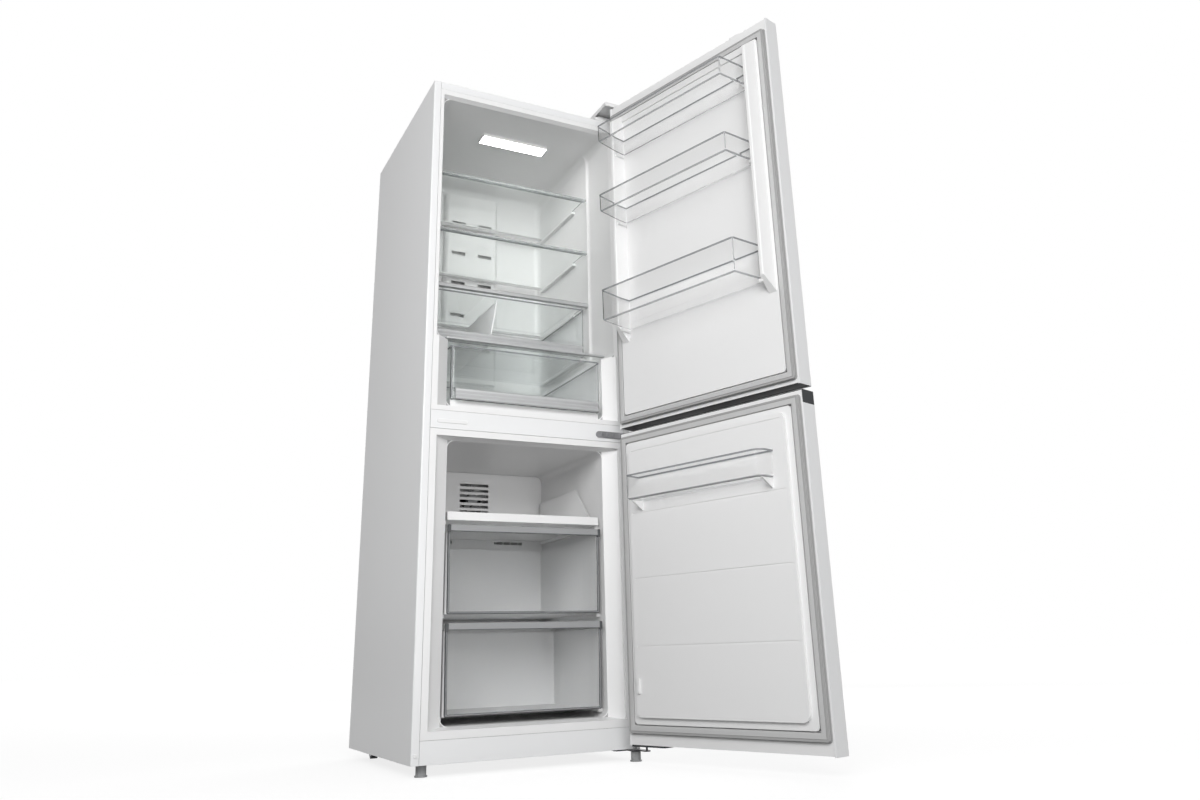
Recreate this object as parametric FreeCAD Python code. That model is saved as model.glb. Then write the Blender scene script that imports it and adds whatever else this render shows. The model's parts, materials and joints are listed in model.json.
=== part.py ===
import FreeCAD, Part
import os

# Two-door refrigerator with the freezer below, both doors standing open.
# Millimetres, +Z up.  While building, Y is measured backwards from the cabinet's front face
# and X from its middle; save() then moves every part so that the origin lies on the floor
# at the middle of the left front foot.

# ---------------------------------------------------------------- sheet, gaps and small stock
STEEL_SHEET = 1.0
PANEL_THICKNESS = 2.0
LINER_SHEET = 2.0
DECK_SHEET = 1.5
DRAWER_WALL = 2.5
SEAM = 0.8
FIT = 0.3
OVERCUT = 1.0

# ---------------------------------------------------------------- heights, from the floor up
CABINET_BOTTOM = 27.0
PLINTH_HEIGHT = 52.0
FREEZER_THRESHOLD = 25.0
LOWER_BASKET_LIFT = 20.0
LOWER_BASKET_HEIGHT = 215.0
BASKET_GAP = 20.0
UPPER_BASKET_HEIGHT = 218.0
TRAY_GAP = 11.0
TRAY_ROOM = 201.0
FREEZER_HEAD = 23.0
DIVIDER_HEIGHT = 48.0
FRIDGE_THRESHOLD = 19.0
PEDESTAL_HEIGHT = 19.0
MEAT_HEIGHT = 148.0
MEAT_HEADROOM = 16.0
CRISPER_LIFT = 48.0
CRISPER_HEIGHT = 150.0
CRISPER_HEADROOM = 10.0
CRISPER_COVER_ROOM = 174.0
MIDDLE_SHELF_ROOM = 183.0
UPPER_SHELF_ROOM = 156.0
TOP_INSULATION = 43.0
FASCIA_HEIGHT = 22.0

PLINTH_TOP = CABINET_BOTTOM + PLINTH_HEIGHT
FREEZER_FLOOR = PLINTH_TOP + FREEZER_THRESHOLD
LOWER_BASKET_BOTTOM = FREEZER_FLOOR + LOWER_BASKET_LIFT
LOWER_BASKET_TOP = LOWER_BASKET_BOTTOM + LOWER_BASKET_HEIGHT
UPPER_BASKET_BOTTOM = LOWER_BASKET_TOP + BASKET_GAP
UPPER_BASKET_TOP = UPPER_BASKET_BOTTOM + UPPER_BASKET_HEIGHT
TRAY_BOTTOM = UPPER_BASKET_TOP + TRAY_GAP
FREEZER_CEILING = TRAY_BOTTOM + TRAY_ROOM
DIVIDER_BOTTOM = FREEZER_CEILING + FREEZER_HEAD
DIVIDER_TOP = DIVIDER_BOTTOM + DIVIDER_HEIGHT
FRIDGE_FLOOR = DIVIDER_TOP + FRIDGE_THRESHOLD
PEDESTAL_TOP = FRIDGE_FLOOR + PEDESTAL_HEIGHT
MEAT_TOP = PEDESTAL_TOP + MEAT_HEIGHT
FRIDGE_STEP = MEAT_TOP + MEAT_HEADROOM
CRISPER_BOTTOM = FRIDGE_STEP + CRISPER_LIFT
CRISPER_TOP = CRISPER_BOTTOM + CRISPER_HEIGHT
CRISPER_COVER_Z = CRISPER_TOP + CRISPER_HEADROOM
MIDDLE_SHELF_Z = CRISPER_COVER_Z + CRISPER_COVER_ROOM
UPPER_SHELF_Z = MIDDLE_SHELF_Z + MIDDLE_SHELF_ROOM
FRIDGE_CEILING = UPPER_SHELF_Z + UPPER_SHELF_ROOM
CABINET_TOP = FRIDGE_CEILING + TOP_INSULATION

# ---------------------------------------------------------------- cabinet shell
CABINET_WIDTH = 595.0
CABINET_DEPTH = 617.0
PANEL_FLANGE = 19.5
PANEL_CORNER_RADIUS = 4.0
DIVIDER_RETURN = 14.0
HALF_WIDTH = CABINET_WIDTH / 2
INNER_HALF = HALF_WIDTH - STEEL_SHEET
FRONT_HALF = HALF_WIDTH - PANEL_FLANGE - SEAM
BACK_INNER = CABINET_DEPTH - STEEL_SHEET
REAR_PANEL_FRONT = BACK_INNER - STEEL_SHEET
TOP_UNDERSIDE = CABINET_TOP - PANEL_THICKNESS
DECK_TOP = CABINET_BOTTOM + DECK_SHEET

# ---------------------------------------------------------------- liners: insulation at the sides and back
LINER_SETBACK = 0.5
LINER_CORNER_RADIUS = 20.0
FRIDGE_MOUTH_WALL = 29.5
FRIDGE_FRONT_WALL = 35.5
FRIDGE_REAR_WALL = 41.5
FRIDGE_LOWER_WALL = 69.5
FRIDGE_BACK_WALL = 72.0
FRIDGE_FRONT_ZONE = 165.0
FRIDGE_MOUTH_DEPTH = 15.0
FRIDGE_LOWER_MOUTH_DEPTH = 30.0
MOUTH_LIP = 6.0
PEDESTAL_SIDE_GAP = 12.0
PEDESTAL_FRONT = 35.0
PEDESTAL_BACK = 430.0
FREEZER_MOUTH_WALL = 37.5
FREEZER_SIDE_WALL = 75.5
FREEZER_BACK_WALL = 97.0
FREEZER_MOUTH_DEPTH = 30.0
FREEZER_MOUTH_STRAIGHT = 9.0
MACHINE_DEPTH = 217.0
NICHE_TOP = 250.0
NICHE_ROOF_WALL = 80.0
NICHE_FRONT_WALL = 45.0
RIB_HEIGHT = 8.0
RIB_REACH = 12.0
LINER_BACK = LINER_SETBACK + LINER_SHEET
FRIDGE_HALF_MOUTH = HALF_WIDTH - FRIDGE_MOUTH_WALL
FRIDGE_HALF_FRONT = HALF_WIDTH - FRIDGE_FRONT_WALL
FRIDGE_HALF_REAR = HALF_WIDTH - FRIDGE_REAR_WALL
FRIDGE_HALF_LOWER = HALF_WIDTH - FRIDGE_LOWER_WALL
FRIDGE_DEPTH = CABINET_DEPTH - FRIDGE_BACK_WALL
PEDESTAL_HALF_WIDTH = FRIDGE_HALF_LOWER - PEDESTAL_SIDE_GAP
FREEZER_HALF_MOUTH = HALF_WIDTH - FREEZER_MOUTH_WALL
FREEZER_HALF_WIDTH = HALF_WIDTH - FREEZER_SIDE_WALL
FREEZER_DEPTH = CABINET_DEPTH - FREEZER_BACK_WALL
NICHE_FRONT = CABINET_DEPTH - MACHINE_DEPTH
FREEZER_LOWER_DEPTH = NICHE_FRONT - NICHE_FRONT_WALL
FREEZER_REAR_FLOOR = NICHE_TOP + NICHE_ROOF_WALL

# ---------------------------------------------------------------- machine space
COMPRESSOR_X = 95.0
COMPRESSOR_REAR_GAP = 105.0
COMPRESSOR_RADIUS = 72.0
COMPRESSOR_HEIGHT = 128.0
COMPRESSOR_ROUNDING = 28.0
COMPRESSOR_LIFT = 12.0
COMPRESSOR_PLATE = 3.0
COMPRESSOR_PLATE_INSET = 3.6
RUBBER_FOOT_INSET = 13.7
RUBBER_FOOT_RADIUS = 9.6
CONDENSER_RUNS = 7
CONDENSER_PITCH = 24.0
CONDENSER_TUBE_RADIUS = 3.0
CONDENSER_WIRES = 9
CONDENSER_SIDE_GAP = 27.5
CONDENSER_RIGHT = -40.0
DRIP_TRAY_HEIGHT = 26.0
GLAND_RADIUS = 9.0
GLAND_BORE_RADIUS = 4.5
GLAND_LENGTH = 9.0
GLAND_INSET = 58.5
GLAND_LIFT = 37.5
GLAND_PLATE_HALF_WIDTH = 18.0
GLAND_PLATE_HALF_HEIGHT = 13.5
GLAND_PLATE_RADIUS = 3.0
COMPRESSOR_Y = CABINET_DEPTH - COMPRESSOR_REAR_GAP
CONDENSER_LEFT = -HALF_WIDTH + CONDENSER_SIDE_GAP

# ---------------------------------------------------------------- cold air
COVER_ROOM = 70.0
COVER_SHEET = 2.5
COVER_SLOTS = 6
COVER_SLOT_HEIGHT = 8.0
EVAPORATOR_FINS = 15
EVAPORATOR_PITCH = 24.0
EVAPORATOR_LIFT = 54.0
EVAPORATOR_HEIGHT = 236.0
EVAPORATOR_COVER_GAP = 10.0
EVAPORATOR_WALL_GAP = 8.0
EVAPORATOR_TUBE_RADIUS = 4.0
EVAPORATOR_TUBES = 6
FAN_LIFT = 92.0
FAN_COVER_GAP = 12.0
FAN_RADIUS = 45.0
FAN_BLADES = 5
BLADE_TWIST = 30.0
BLADE_THICKNESS = 2.0
FAN_HUB_RADIUS = 16.0
FAN_HUB_LENGTH = 16.0
FAN_HUB_CAP = 3.0
FAN_SHAFT_RADIUS = 2.0
MOTOR_RADIUS = 19.0
MOTOR_ARM = 3.0
DUCT_HALF_WIDTH = 92.0
DUCT_DEPTH = 28.0
DUCT_LIFT = 34.0
DUCT_HEAD_GAP = 31.0
DUCT_OUTLETS = 5
DUCT_OUTLET_HEIGHT = 12.0
COVER_Y = FREEZER_DEPTH - COVER_ROOM
EVAPORATOR_BOTTOM = FREEZER_REAR_FLOOR + EVAPORATOR_LIFT
EVAPORATOR_TOP = EVAPORATOR_BOTTOM + EVAPORATOR_HEIGHT
EVAPORATOR_FRONT = COVER_Y + EVAPORATOR_COVER_GAP
EVAPORATOR_BACK = FREEZER_DEPTH - EVAPORATOR_WALL_GAP
FAN_Z = EVAPORATOR_TOP + FAN_LIFT
FAN_FRONT = COVER_Y + FAN_COVER_GAP
DUCT_BOTTOM = FRIDGE_STEP + DUCT_LIFT
DUCT_TOP = FRIDGE_CEILING - DUCT_HEAD_GAP
DUCT_FRONT = FRIDGE_DEPTH - DUCT_DEPTH

# ---------------------------------------------------------------- fridge fittings
SHELF_FRONT = 158.0
SHELF_BACK_GAP = 40.0
SHELF_SIDE_GAP = 1.5
GLASS = 4.0
SHELF_TRIM_HEIGHT = 8.0
COVER_TRIM_HEIGHT = 12.0
TRIM_DEPTH = 14.0
TRIM_GRIP = 6.0
REAR_UPSTAND = 14.0
SHELF_RIB_FRONT = 245.0
CRISPER_FRONT = 168.0
CRISPER_BACK_GAP = 45.0
CRISPER_SIDE_GAP = 9.0
CRISPER_RIB_REACH = 20.0
HANDLE_BAND_HEIGHT = 29.0
HANDLE_BAND_DEPTH = 8.0
HANDLE_GRIP_DEPTH = 5.0
DRAWER_RADIUS = 12.0
DIVIDER_PLATE = 3.0
DIVIDER_FOOT_X = -60.0
DIVIDER_HEAD_X = -40.0
DIVIDER_HEAD_GAP = 14.0
MEAT_FRONT = 20.0
MEAT_PEDESTAL_GAP = 5.0
MEAT_SIDE_GAP = 8.0
MEAT_COVER_REACH = 7.0
MEAT_COVER_BACK_GAP = 25.0
MEAT_COVER_FRONT = 17.0
MEAT_COVER_THICKNESS = 5.0
LIGHT_LEFT = -98.0
LIGHT_RIGHT = 120.0
LIGHT_FRONT = 145.0
LIGHT_BACK = 200.0
LIGHT_HEIGHT = 9.0
LIGHT_WALL = 1.5
SHELF_BACK = FRIDGE_DEPTH - SHELF_BACK_GAP
CRISPER_BACK = FRIDGE_DEPTH - CRISPER_BACK_GAP
CRISPER_HALF_WIDTH = FRIDGE_HALF_REAR - CRISPER_SIDE_GAP
MEAT_BACK = PEDESTAL_BACK - MEAT_PEDESTAL_GAP
MEAT_HALF_WIDTH = FRIDGE_HALF_LOWER - MEAT_SIDE_GAP
MEAT_COVER_HALF_WIDTH = FRIDGE_HALF_LOWER + MEAT_COVER_REACH
MEAT_COVER_BACK = FRIDGE_DEPTH - MEAT_COVER_BACK_GAP

# ---------------------------------------------------------------- freezer fittings
BASKET_SIDE_GAP = 9.0
BASKET_FRONT = 40.0
BASKET_COVER_GAP = 15.0
LOWER_BASKET_BACK_GAP = 10.0
BASKET_FRONT_PANEL = 3.0
BASKET_RIM = 6.0
BASKET_LIP_HEIGHT = 18.0
BASKET_LIP_DEPTH = 9.0
BASKET_GRIP_DEPTH = 5.0
BASKET_RIB_FRONT = 60.0
TRAY_FRONT = 40.0
TRAY_FRONT_HEIGHT = 22.0
TRAY_SLOPE_START = 85.0
TRAY_SLOPE_END = 176.0
TRAY_SIDE_HEIGHT = 117.0
TRAY_WALL = 3.0
BASKET_HALF_WIDTH = FREEZER_HALF_WIDTH - BASKET_SIDE_GAP
BASKET_BACK = COVER_Y - BASKET_COVER_GAP
LOWER_BASKET_BACK = FREEZER_LOWER_DEPTH - LOWER_BASKET_BACK_GAP
TRAY_SIDE_TOP = TRAY_BOTTOM + TRAY_SIDE_HEIGHT

# ---------------------------------------------------------------- doors
DOOR_INNER = 10.5
DOOR_OUTER = 59.5
DOOR_CORNER_RADIUS = 6.0
DOOR_SKIN_LIP = 5.0
DOOR_HEAD = 10.5
DOOR_GAP = 13.0
DOOR_FOOT_GAP = 14.0
UPPER_DOOR_ANGLE = 106.45
LOWER_DOOR_ANGLE = 106.89
HINGE_INSET = 13.0
HINGE_OFFSET = 55.4
HINGE_PIN_RADIUS = 2.6
TOP_CAP_HEIGHT = 12.0
TAB_INSET = 95.0
TAB_LENGTH = 36.0
TAB_INNER = 16.0
TAB_OUTER = 40.0
TAB_HEIGHT = 6.0
BOTTOM_CAP_HEIGHT = 10.0
BOTTOM_CAP_RECESS = 2.0
GRIP_CAP_HEIGHT = 32.0
GRIP_DEPTH = 24.0
GRIP_INNER = 34.0
GRIP_WALL = 3.5
GRIP_END = 30.0
GASKET_OUTER = 6.0
GASKET_WIDTH = 21.0
GASKET_CLEARANCE = 0.6
GASKET_FACE = 3.2
GASKET_FACE_INSET = 2.0
GASKET_BASE = 2.0
GASKET_WAIST = 4.0
GASKET_RADIUS = 8.0
UPPER_GASKET_HEAD = 23.0
UPPER_GASKET_FOOT = 34.0
LOWER_GASKET_HEAD = 22.0
LOWER_GASKET_FOOT = 36.0
PLATFORM_GAP = 2.0
PLATFORM_FACE = 1.0
PLATFORM_RADIUS = 10.0
RECESS_SIDE = 57.0
RECESS_FLOOR = 6.0
RECESS_LIFT = 20.0
RECESS_HEAD = 20.0
DYKE_OUTER = 34.0
DYKE_TOP_OUTER = 43.0
DYKE_TOP_INNER = 54.0
DYKE_HEIGHT = 36.0
DYKE_LIFT = 8.0
DYKE_LOWER_SLOPE = 38.0
DYKE_UPPER_SLOPE = 30.0
DYKE_ROUNDING = 3.0
LUG_REACH = 7.0
LUG_HEIGHT = 8.0
PANEL_SIDE = 45.0
PANEL_FACE = 8.0
PANEL_FOOT_GAP = 39.0
PANEL_HEAD_GAP = 36.0
PANEL_RADIUS = 18.0
GROOVES = 4
GROOVE_PITCH = 163.5
GROOVE_WIDTH = 4.0
GROOVE_DEPTH = 1.2
NUB_LIFT = 55.0
NUB_HEIGHT = 34.0
NUB_WIDTH = 8.0
NUB_DEPTH = 6.0
STOP_PLATE_LENGTH = 112.0
STOP_PLATE_THICKNESS = 2.5
HINGE_X = HALF_WIDTH - HINGE_INSET
HINGE_Y = -HINGE_OFFSET
LINER_FACE = DOOR_INNER + STEEL_SHEET
LINER_REAR = LINER_FACE + LINER_SHEET
SKIN_INSIDE = DOOR_OUTER - STEEL_SHEET
UPPER_DOOR_TOP = CABINET_TOP + DOOR_HEAD
LOWER_DOOR_TOP = DIVIDER_BOTTOM + DOOR_HEAD
UPPER_DOOR_BOTTOM = LOWER_DOOR_TOP + DOOR_GAP
LOWER_DOOR_BOTTOM = CABINET_BOTTOM + DOOR_FOOT_GAP
DOOR_GAP_MIDDLE = LOWER_DOOR_TOP + DOOR_GAP / 2
TAB_END = CABINET_WIDTH - TAB_INSET
TAB_START = TAB_END - TAB_LENGTH
GASKET_INNER = GASKET_OUTER + GASKET_WIDTH
UPPER_GASKET_BOTTOM = FRIDGE_FLOOR - UPPER_GASKET_FOOT
UPPER_GASKET_TOP = FRIDGE_CEILING + UPPER_GASKET_HEAD
LOWER_GASKET_BOTTOM = FREEZER_FLOOR - LOWER_GASKET_FOOT
LOWER_GASKET_TOP = FREEZER_CEILING + LOWER_GASKET_HEAD
RECESS_BOTTOM = FRIDGE_STEP + RECESS_LIFT
RECESS_TOP = FRIDGE_CEILING - RECESS_HEAD
DYKE_BOTTOM = FRIDGE_STEP + DYKE_LIFT
PANEL_BOTTOM_Z = LOWER_GASKET_BOTTOM + PANEL_FOOT_GAP
PANEL_TOP_Z = LOWER_GASKET_TOP - PANEL_HEAD_GAP
NUB_BOTTOM = PANEL_BOTTOM_Z + NUB_LIFT
PIN_HOLE_RADIUS = HINGE_PIN_RADIUS + FIT

# ---------------------------------------------------------------- door bins
BIN_WALL = 2.5
BIN_SIDE_GAP = 1.5
BIN_NECK = 30.0
BIN_FRONT_SIDE = 68.0
BIN_FRONT = 113.0
BIN_RADIUS = 12.0
BIN_HEIGHT = 53.0
BIN_HEADROOM = 117.0
BIN_SPACING = 220.0
BOTTOM_BIN_LIFT = 21.0
BOTTOM_BIN_HEIGHT = 90.0
FREEZER_BIN_DROP = 148.0
FREEZER_BIN_HEIGHT = 64.0
FREEZER_BIN_SIDE = 81.0
FREEZER_BIN_FRONT = 58.0
FREEZER_BIN_RADIUS = 25.0
GUSSET_THICKNESS = 4.0
GUSSET_HEIGHT = 24.0
GUSSET_INSET = 8.0
BIN_REAR_SIDE = RECESS_SIDE + BIN_SIDE_GAP
TOP_BIN_Z = RECESS_TOP - BIN_HEADROOM
MIDDLE_BIN_Z = TOP_BIN_Z - BIN_SPACING
BOTTOM_BIN_Z = RECESS_BOTTOM + BOTTOM_BIN_LIFT
FREEZER_BIN_Z = PANEL_TOP_Z - FREEZER_BIN_DROP

# ---------------------------------------------------------------- hinges, feet, rollers
HINGE_PLATE = 3.0
HINGE_NOSE_RADIUS = 9.0
MIDDLE_HINGE_LENGTH = 99.0
MIDDLE_HINGE_REACH = 5.5
MIDDLE_HINGE_HEIGHT = 18.0
PIN_ENGAGEMENT = 9.0
TOP_PLATE_GAP = 4.5
TOP_HINGE_BACK = 62.0
TOP_HINGE_LENGTH = 58.5
COVER_LENGTH = 70.5
COVER_BACK = 92.0
COVER_HEIGHT = 25.0
COVER_WALL = 2.0
COVER_NOSE = 70.0
COVER_CLEARANCE = 1.2
BOTTOM_HINGE_LENGTH = 56.5
BOTTOM_HINGE_BACK = 60.0
FOOT_RADIUS = 15.0
FOOT_TOP_RADIUS = 12.5
FOOT_FLARE = 4.0
STEM_RADIUS = 4.0
STEM_LENGTH = 14.0
LEFT_FOOT_INSET = 35.5
LEFT_FOOT_Y = 35.0
RIGHT_FOOT_INSET = 25.5
RIGHT_FOOT_Y = -20.0
ROLLER_RADIUS = 12.0
ROLLER_WIDTH = 18.0
ROLLER_INSET = 57.5
ROLLER_REAR_GAP = 57.0
AXLE_RADIUS = 3.0
SCREWS_PER_HINGE = 3
SCREW_HEAD_RADIUS = 4.0
SCREW_HEAD_HEIGHT = 2.0
PLUG_INSET = 37.5
PLUG_WIDTH = 81.0
PLUG_HEIGHT = 9.5
PLUG_PROUD = 2.0
CAP_PLUG_RADIUS = 4.5
CAP_PLUG_LIFT = 21.0
HINGE_PLATE_TOP_Z = UPPER_DOOR_TOP + TOP_PLATE_GAP
BOTTOM_PLATE_BOTTOM = CABINET_BOTTOM - HINGE_PLATE
MIDDLE_HINGE_RIGHT = HINGE_X + MIDDLE_HINGE_REACH
MIDDLE_HINGE_LEFT = MIDDLE_HINGE_RIGHT - MIDDLE_HINGE_LENGTH
MIDDLE_HINGE_Z = DOOR_GAP_MIDDLE + HINGE_PLATE / 2
TOP_HINGE_LEFT = HINGE_X - TOP_HINGE_LENGTH
COVER_LEFT = HINGE_X - COVER_LENGTH
COVER_TOP = CABINET_TOP + COVER_HEIGHT
BOTTOM_HINGE_LEFT = HINGE_X - BOTTOM_HINGE_LENGTH
LEFT_FOOT_X = -HALF_WIDTH + LEFT_FOOT_INSET
RIGHT_FOOT_X = HALF_WIDTH - RIGHT_FOOT_INSET
ROLLER_X = HALF_WIDTH - ROLLER_INSET
ROLLER_Y = CABINET_DEPTH - ROLLER_REAR_GAP
PLUG_LEFT = -HALF_WIDTH + PLUG_INSET
CAP_PLUG_Z = CABINET_BOTTOM + CAP_PLUG_LIFT

X_AXIS = FreeCAD.Vector(1, 0, 0)
Y_AXIS = FreeCAD.Vector(0, 1, 0)
Z_AXIS = FreeCAD.Vector(0, 0, 1)


# ---------------------------------------------------------------- helpers
def vector(x, y, z):
    return FreeCAD.Vector(x, y, z)


def box(x0, x1, y0, y1, z0, z1):
    return Part.makeBox(x1 - x0, y1 - y0, z1 - z0, vector(x0, y0, z0))


def straight_along(edge, axis):
    run = edge.Vertexes[-1].Point - edge.Vertexes[0].Point
    return run.Length > 0 and abs(run.normalize().dot(axis)) > 0.999


def round_along(shape, radius, axis):
    return shape.makeFillet(radius, [e for e in shape.Edges if straight_along(e, axis)])


def rounded_box(x0, x1, y0, y1, z0, z1, radius, axis):
    return round_along(box(x0, x1, y0, y1, z0, z1), radius, axis)


def pocket(half_width, y0, y1, z0, z1, radius):
    """A box between -half_width and half_width, rounded everywhere but at its front face."""
    shape = box(-half_width, half_width, y0, y1, z0, z1)
    edges = [e for e in shape.Edges if max(v.Y for v in e.Vertexes) > y0 + radius]
    return shape.makeFillet(radius, edges)


def rectangle_y(x0, x1, z0, z1, y):
    corners = [vector(x0, y, z0), vector(x1, y, z0), vector(x1, y, z1), vector(x0, y, z1)]
    return Part.makePolygon(corners + corners[:1])


def funnel(rectangle_a, ya, rectangle_b, yb):
    """A solid between two upright rectangles (x0, x1, z0, z1) at ya and yb."""
    return Part.makeLoft([rectangle_y(*rectangle_a, ya), rectangle_y(*rectangle_b, yb)], True, True)


def prism(points, run):
    return Part.Face(Part.makePolygon(points + points[:1])).extrude(run)


def pill_plate(x0, x1, y0, y1, z, half):
    """A plate in X and Z whose two ends are half circles."""
    middle = box(x0 + half, x1 - half, y0, y1, z - half, z + half)
    ends = [cylinder(x, y0, z, half, y1 - y0, Y_AXIS) for x in (x0 + half, x1 - half)]
    return union(middle, *ends)


def cylinder(x, y, z, radius, length, axis):
    return Part.makeCylinder(radius, length, vector(x, y, z), axis)


def union(*shapes):
    return shapes[0].fuse(list(shapes[1:])).removeSplitter()


def mirrored(shape):
    return shape.mirror(vector(0, 0, 0), X_AXIS)


def both_sides(shape):
    return [shape, mirrored(shape)]


def save(name, *solids):
    shape = solids[0] if len(solids) == 1 else Part.makeCompound(list(solids))
    moved = shape.translated(vector(-LEFT_FOOT_X, -LEFT_FOOT_Y, 0))
    moved.exportStep("parts/" + name + ".step")
    print(name, len(moved.Solids), "solids", round(moved.Volume), "mm3", moved.isValid())


# Door parts are drawn closed: s runs from the hinge-side edge towards the free edge and
# n outwards from the cabinet's front face.
def door_box(s0, s1, n0, n1, z0, z1):
    return box(HALF_WIDTH - s1, HALF_WIDTH - s0, -n1, -n0, z0, z1)


def door_point(s, n, z):
    return vector(HALF_WIDTH - s, -n, z)


def swing(shape, angle):
    return shape.rotated(vector(HINGE_X, HINGE_Y, 0), Z_AXIS, angle)


def pin(z0, z1, radius):
    return cylinder(HINGE_X, HINGE_Y, z0, radius, z1 - z0, Z_AXIS)


# ---------------------------------------------------------------- cabinet shell
def right_side_panel():
    outer = box(HALF_WIDTH - PANEL_FLANGE, HALF_WIDTH, 0, CABINET_DEPTH, CABINET_BOTTOM, CABINET_TOP)
    corners = [
        e for e in outer.Edges
        if straight_along(e, Z_AXIS) and e.Vertexes[0].X > INNER_HALF
    ]
    outer = outer.makeFillet(PANEL_CORNER_RADIUS, corners)
    inner = box(0, INNER_HALF, STEEL_SHEET, BACK_INNER, CABINET_BOTTOM - OVERCUT, CABINET_TOP + OVERCUT)
    corners = [
        e for e in inner.Edges
        if straight_along(e, Z_AXIS) and e.Vertexes[0].X > INNER_HALF - STEEL_SHEET
    ]
    return outer.cut(inner.makeFillet(PANEL_CORNER_RADIUS - STEEL_SHEET, corners))


def top_panel():
    side = INNER_HALF - FIT
    back = BACK_INNER - PANEL_CORNER_RADIUS
    plate = box(-side, side, PANEL_CORNER_RADIUS, back, TOP_UNDERSIDE, CABINET_TOP)
    fascia = box(-FRONT_HALF, FRONT_HALF, 0, PANEL_THICKNESS, CABINET_TOP - FASCIA_HEIGHT, CABINET_TOP)
    bridge = box(-FRONT_HALF, FRONT_HALF, 0, PANEL_CORNER_RADIUS, TOP_UNDERSIDE, CABINET_TOP)
    return union(plate, fascia, bridge)


def rear_panel():
    side = INNER_HALF - PANEL_CORNER_RADIUS
    plate = box(-side, side, REAR_PANEL_FRONT, BACK_INNER, NICHE_TOP + DECK_SHEET, TOP_UNDERSIDE)
    rib_side = HALF_WIDTH - PANEL_FLANGE - PANEL_CORNER_RADIUS
    low = NICHE_TOP + DECK_SHEET
    rib = box(-rib_side, rib_side, BACK_INNER, CABINET_DEPTH, low, low + PANEL_FLANGE)
    return union(plate, rib)


def roller_bracket(x):
    ears = []
    inner = ROLLER_WIDTH / 2 + FIT
    for side in (-1, 1):
        edge = x + side * inner
        ears.append(box(min(edge, edge + side * DECK_SHEET), max(edge, edge + side * DECK_SHEET),
                        ROLLER_Y - ROLLER_RADIUS, ROLLER_Y + ROLLER_RADIUS,
                        ROLLER_RADIUS - AXLE_RADIUS - DECK_SHEET, DECK_TOP))
    reach = inner + DECK_SHEET
    axle = cylinder(x - reach, ROLLER_Y, ROLLER_RADIUS, AXLE_RADIUS, 2 * reach, X_AXIS)
    return ears + [axle]


def compressor_deck():
    side = INNER_HALF - FIT
    floor = box(-side, side, LINER_BACK + PANEL_THICKNESS, REAR_PANEL_FRONT, CABINET_BOTTOM, DECK_TOP)
    wall = box(-side, side, NICHE_FRONT - DECK_SHEET, NICHE_FRONT, CABINET_BOTTOM, NICHE_TOP + DECK_SHEET)
    roof = box(-side, side, NICHE_FRONT - DECK_SHEET, REAR_PANEL_FRONT, NICHE_TOP, NICHE_TOP + DECK_SHEET)
    brackets = roller_bracket(ROLLER_X) + roller_bracket(-ROLLER_X)
    deck = union(floor, wall, roof, *brackets)
    stem_hole = cylinder(LEFT_FOOT_X, LEFT_FOOT_Y, 0, STEM_RADIUS + FIT, NICHE_TOP, Z_AXIS)
    return deck.cut(stem_hole)


def plinth():
    top = PLINTH_TOP - SEAM / 2
    back = LINER_BACK + PANEL_THICKNESS
    face = box(-FRONT_HALF, FRONT_HALF, LINER_SETBACK, LINER_BACK, CABINET_BOTTOM, top)
    shelf = box(-FRONT_HALF, FRONT_HALF, LINER_SETBACK, back, CABINET_BOTTOM, DECK_TOP)
    return union(face, shelf)


def divider_rail():
    bottom = DIVIDER_BOTTOM + SEAM / 2
    top = DIVIDER_TOP - SEAM / 2
    face = box(-FRONT_HALF, FRONT_HALF, 0, STEEL_SHEET, bottom, top)
    lower = box(-FRONT_HALF, FRONT_HALF, 0, DIVIDER_RETURN, bottom, bottom + STEEL_SHEET)
    upper = box(-FRONT_HALF, FRONT_HALF, 0, DIVIDER_RETURN, top - STEEL_SHEET, top)
    return union(face, lower, upper)


def hinge_hole_plugs():
    z = DOOR_GAP_MIDDLE + HINGE_PLATE
    oval = pill_plate(PLUG_LEFT, PLUG_LEFT + PLUG_WIDTH, -PLUG_PROUD, 0, z, PLUG_HEIGHT / 2)
    x = -(HALF_WIDTH - PANEL_FLANGE / 2)
    return [oval, cylinder(x, -PLUG_PROUD, CAP_PLUG_Z, CAP_PLUG_RADIUS, PLUG_PROUD, Y_AXIS)]


# ---------------------------------------------------------------- liners and insulation
def flange(z0, z1):
    return box(-FRONT_HALF, FRONT_HALF, LINER_SETBACK, LINER_BACK, z0 + SEAM / 2, z1 - SEAM / 2)


def side_ribs(half_width, top, y0, y1, reach):
    rib = box(half_width - reach, half_width + LINER_SHEET / 2, y0, y1, top - RIB_HEIGHT, top)
    return both_sides(rib)


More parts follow.
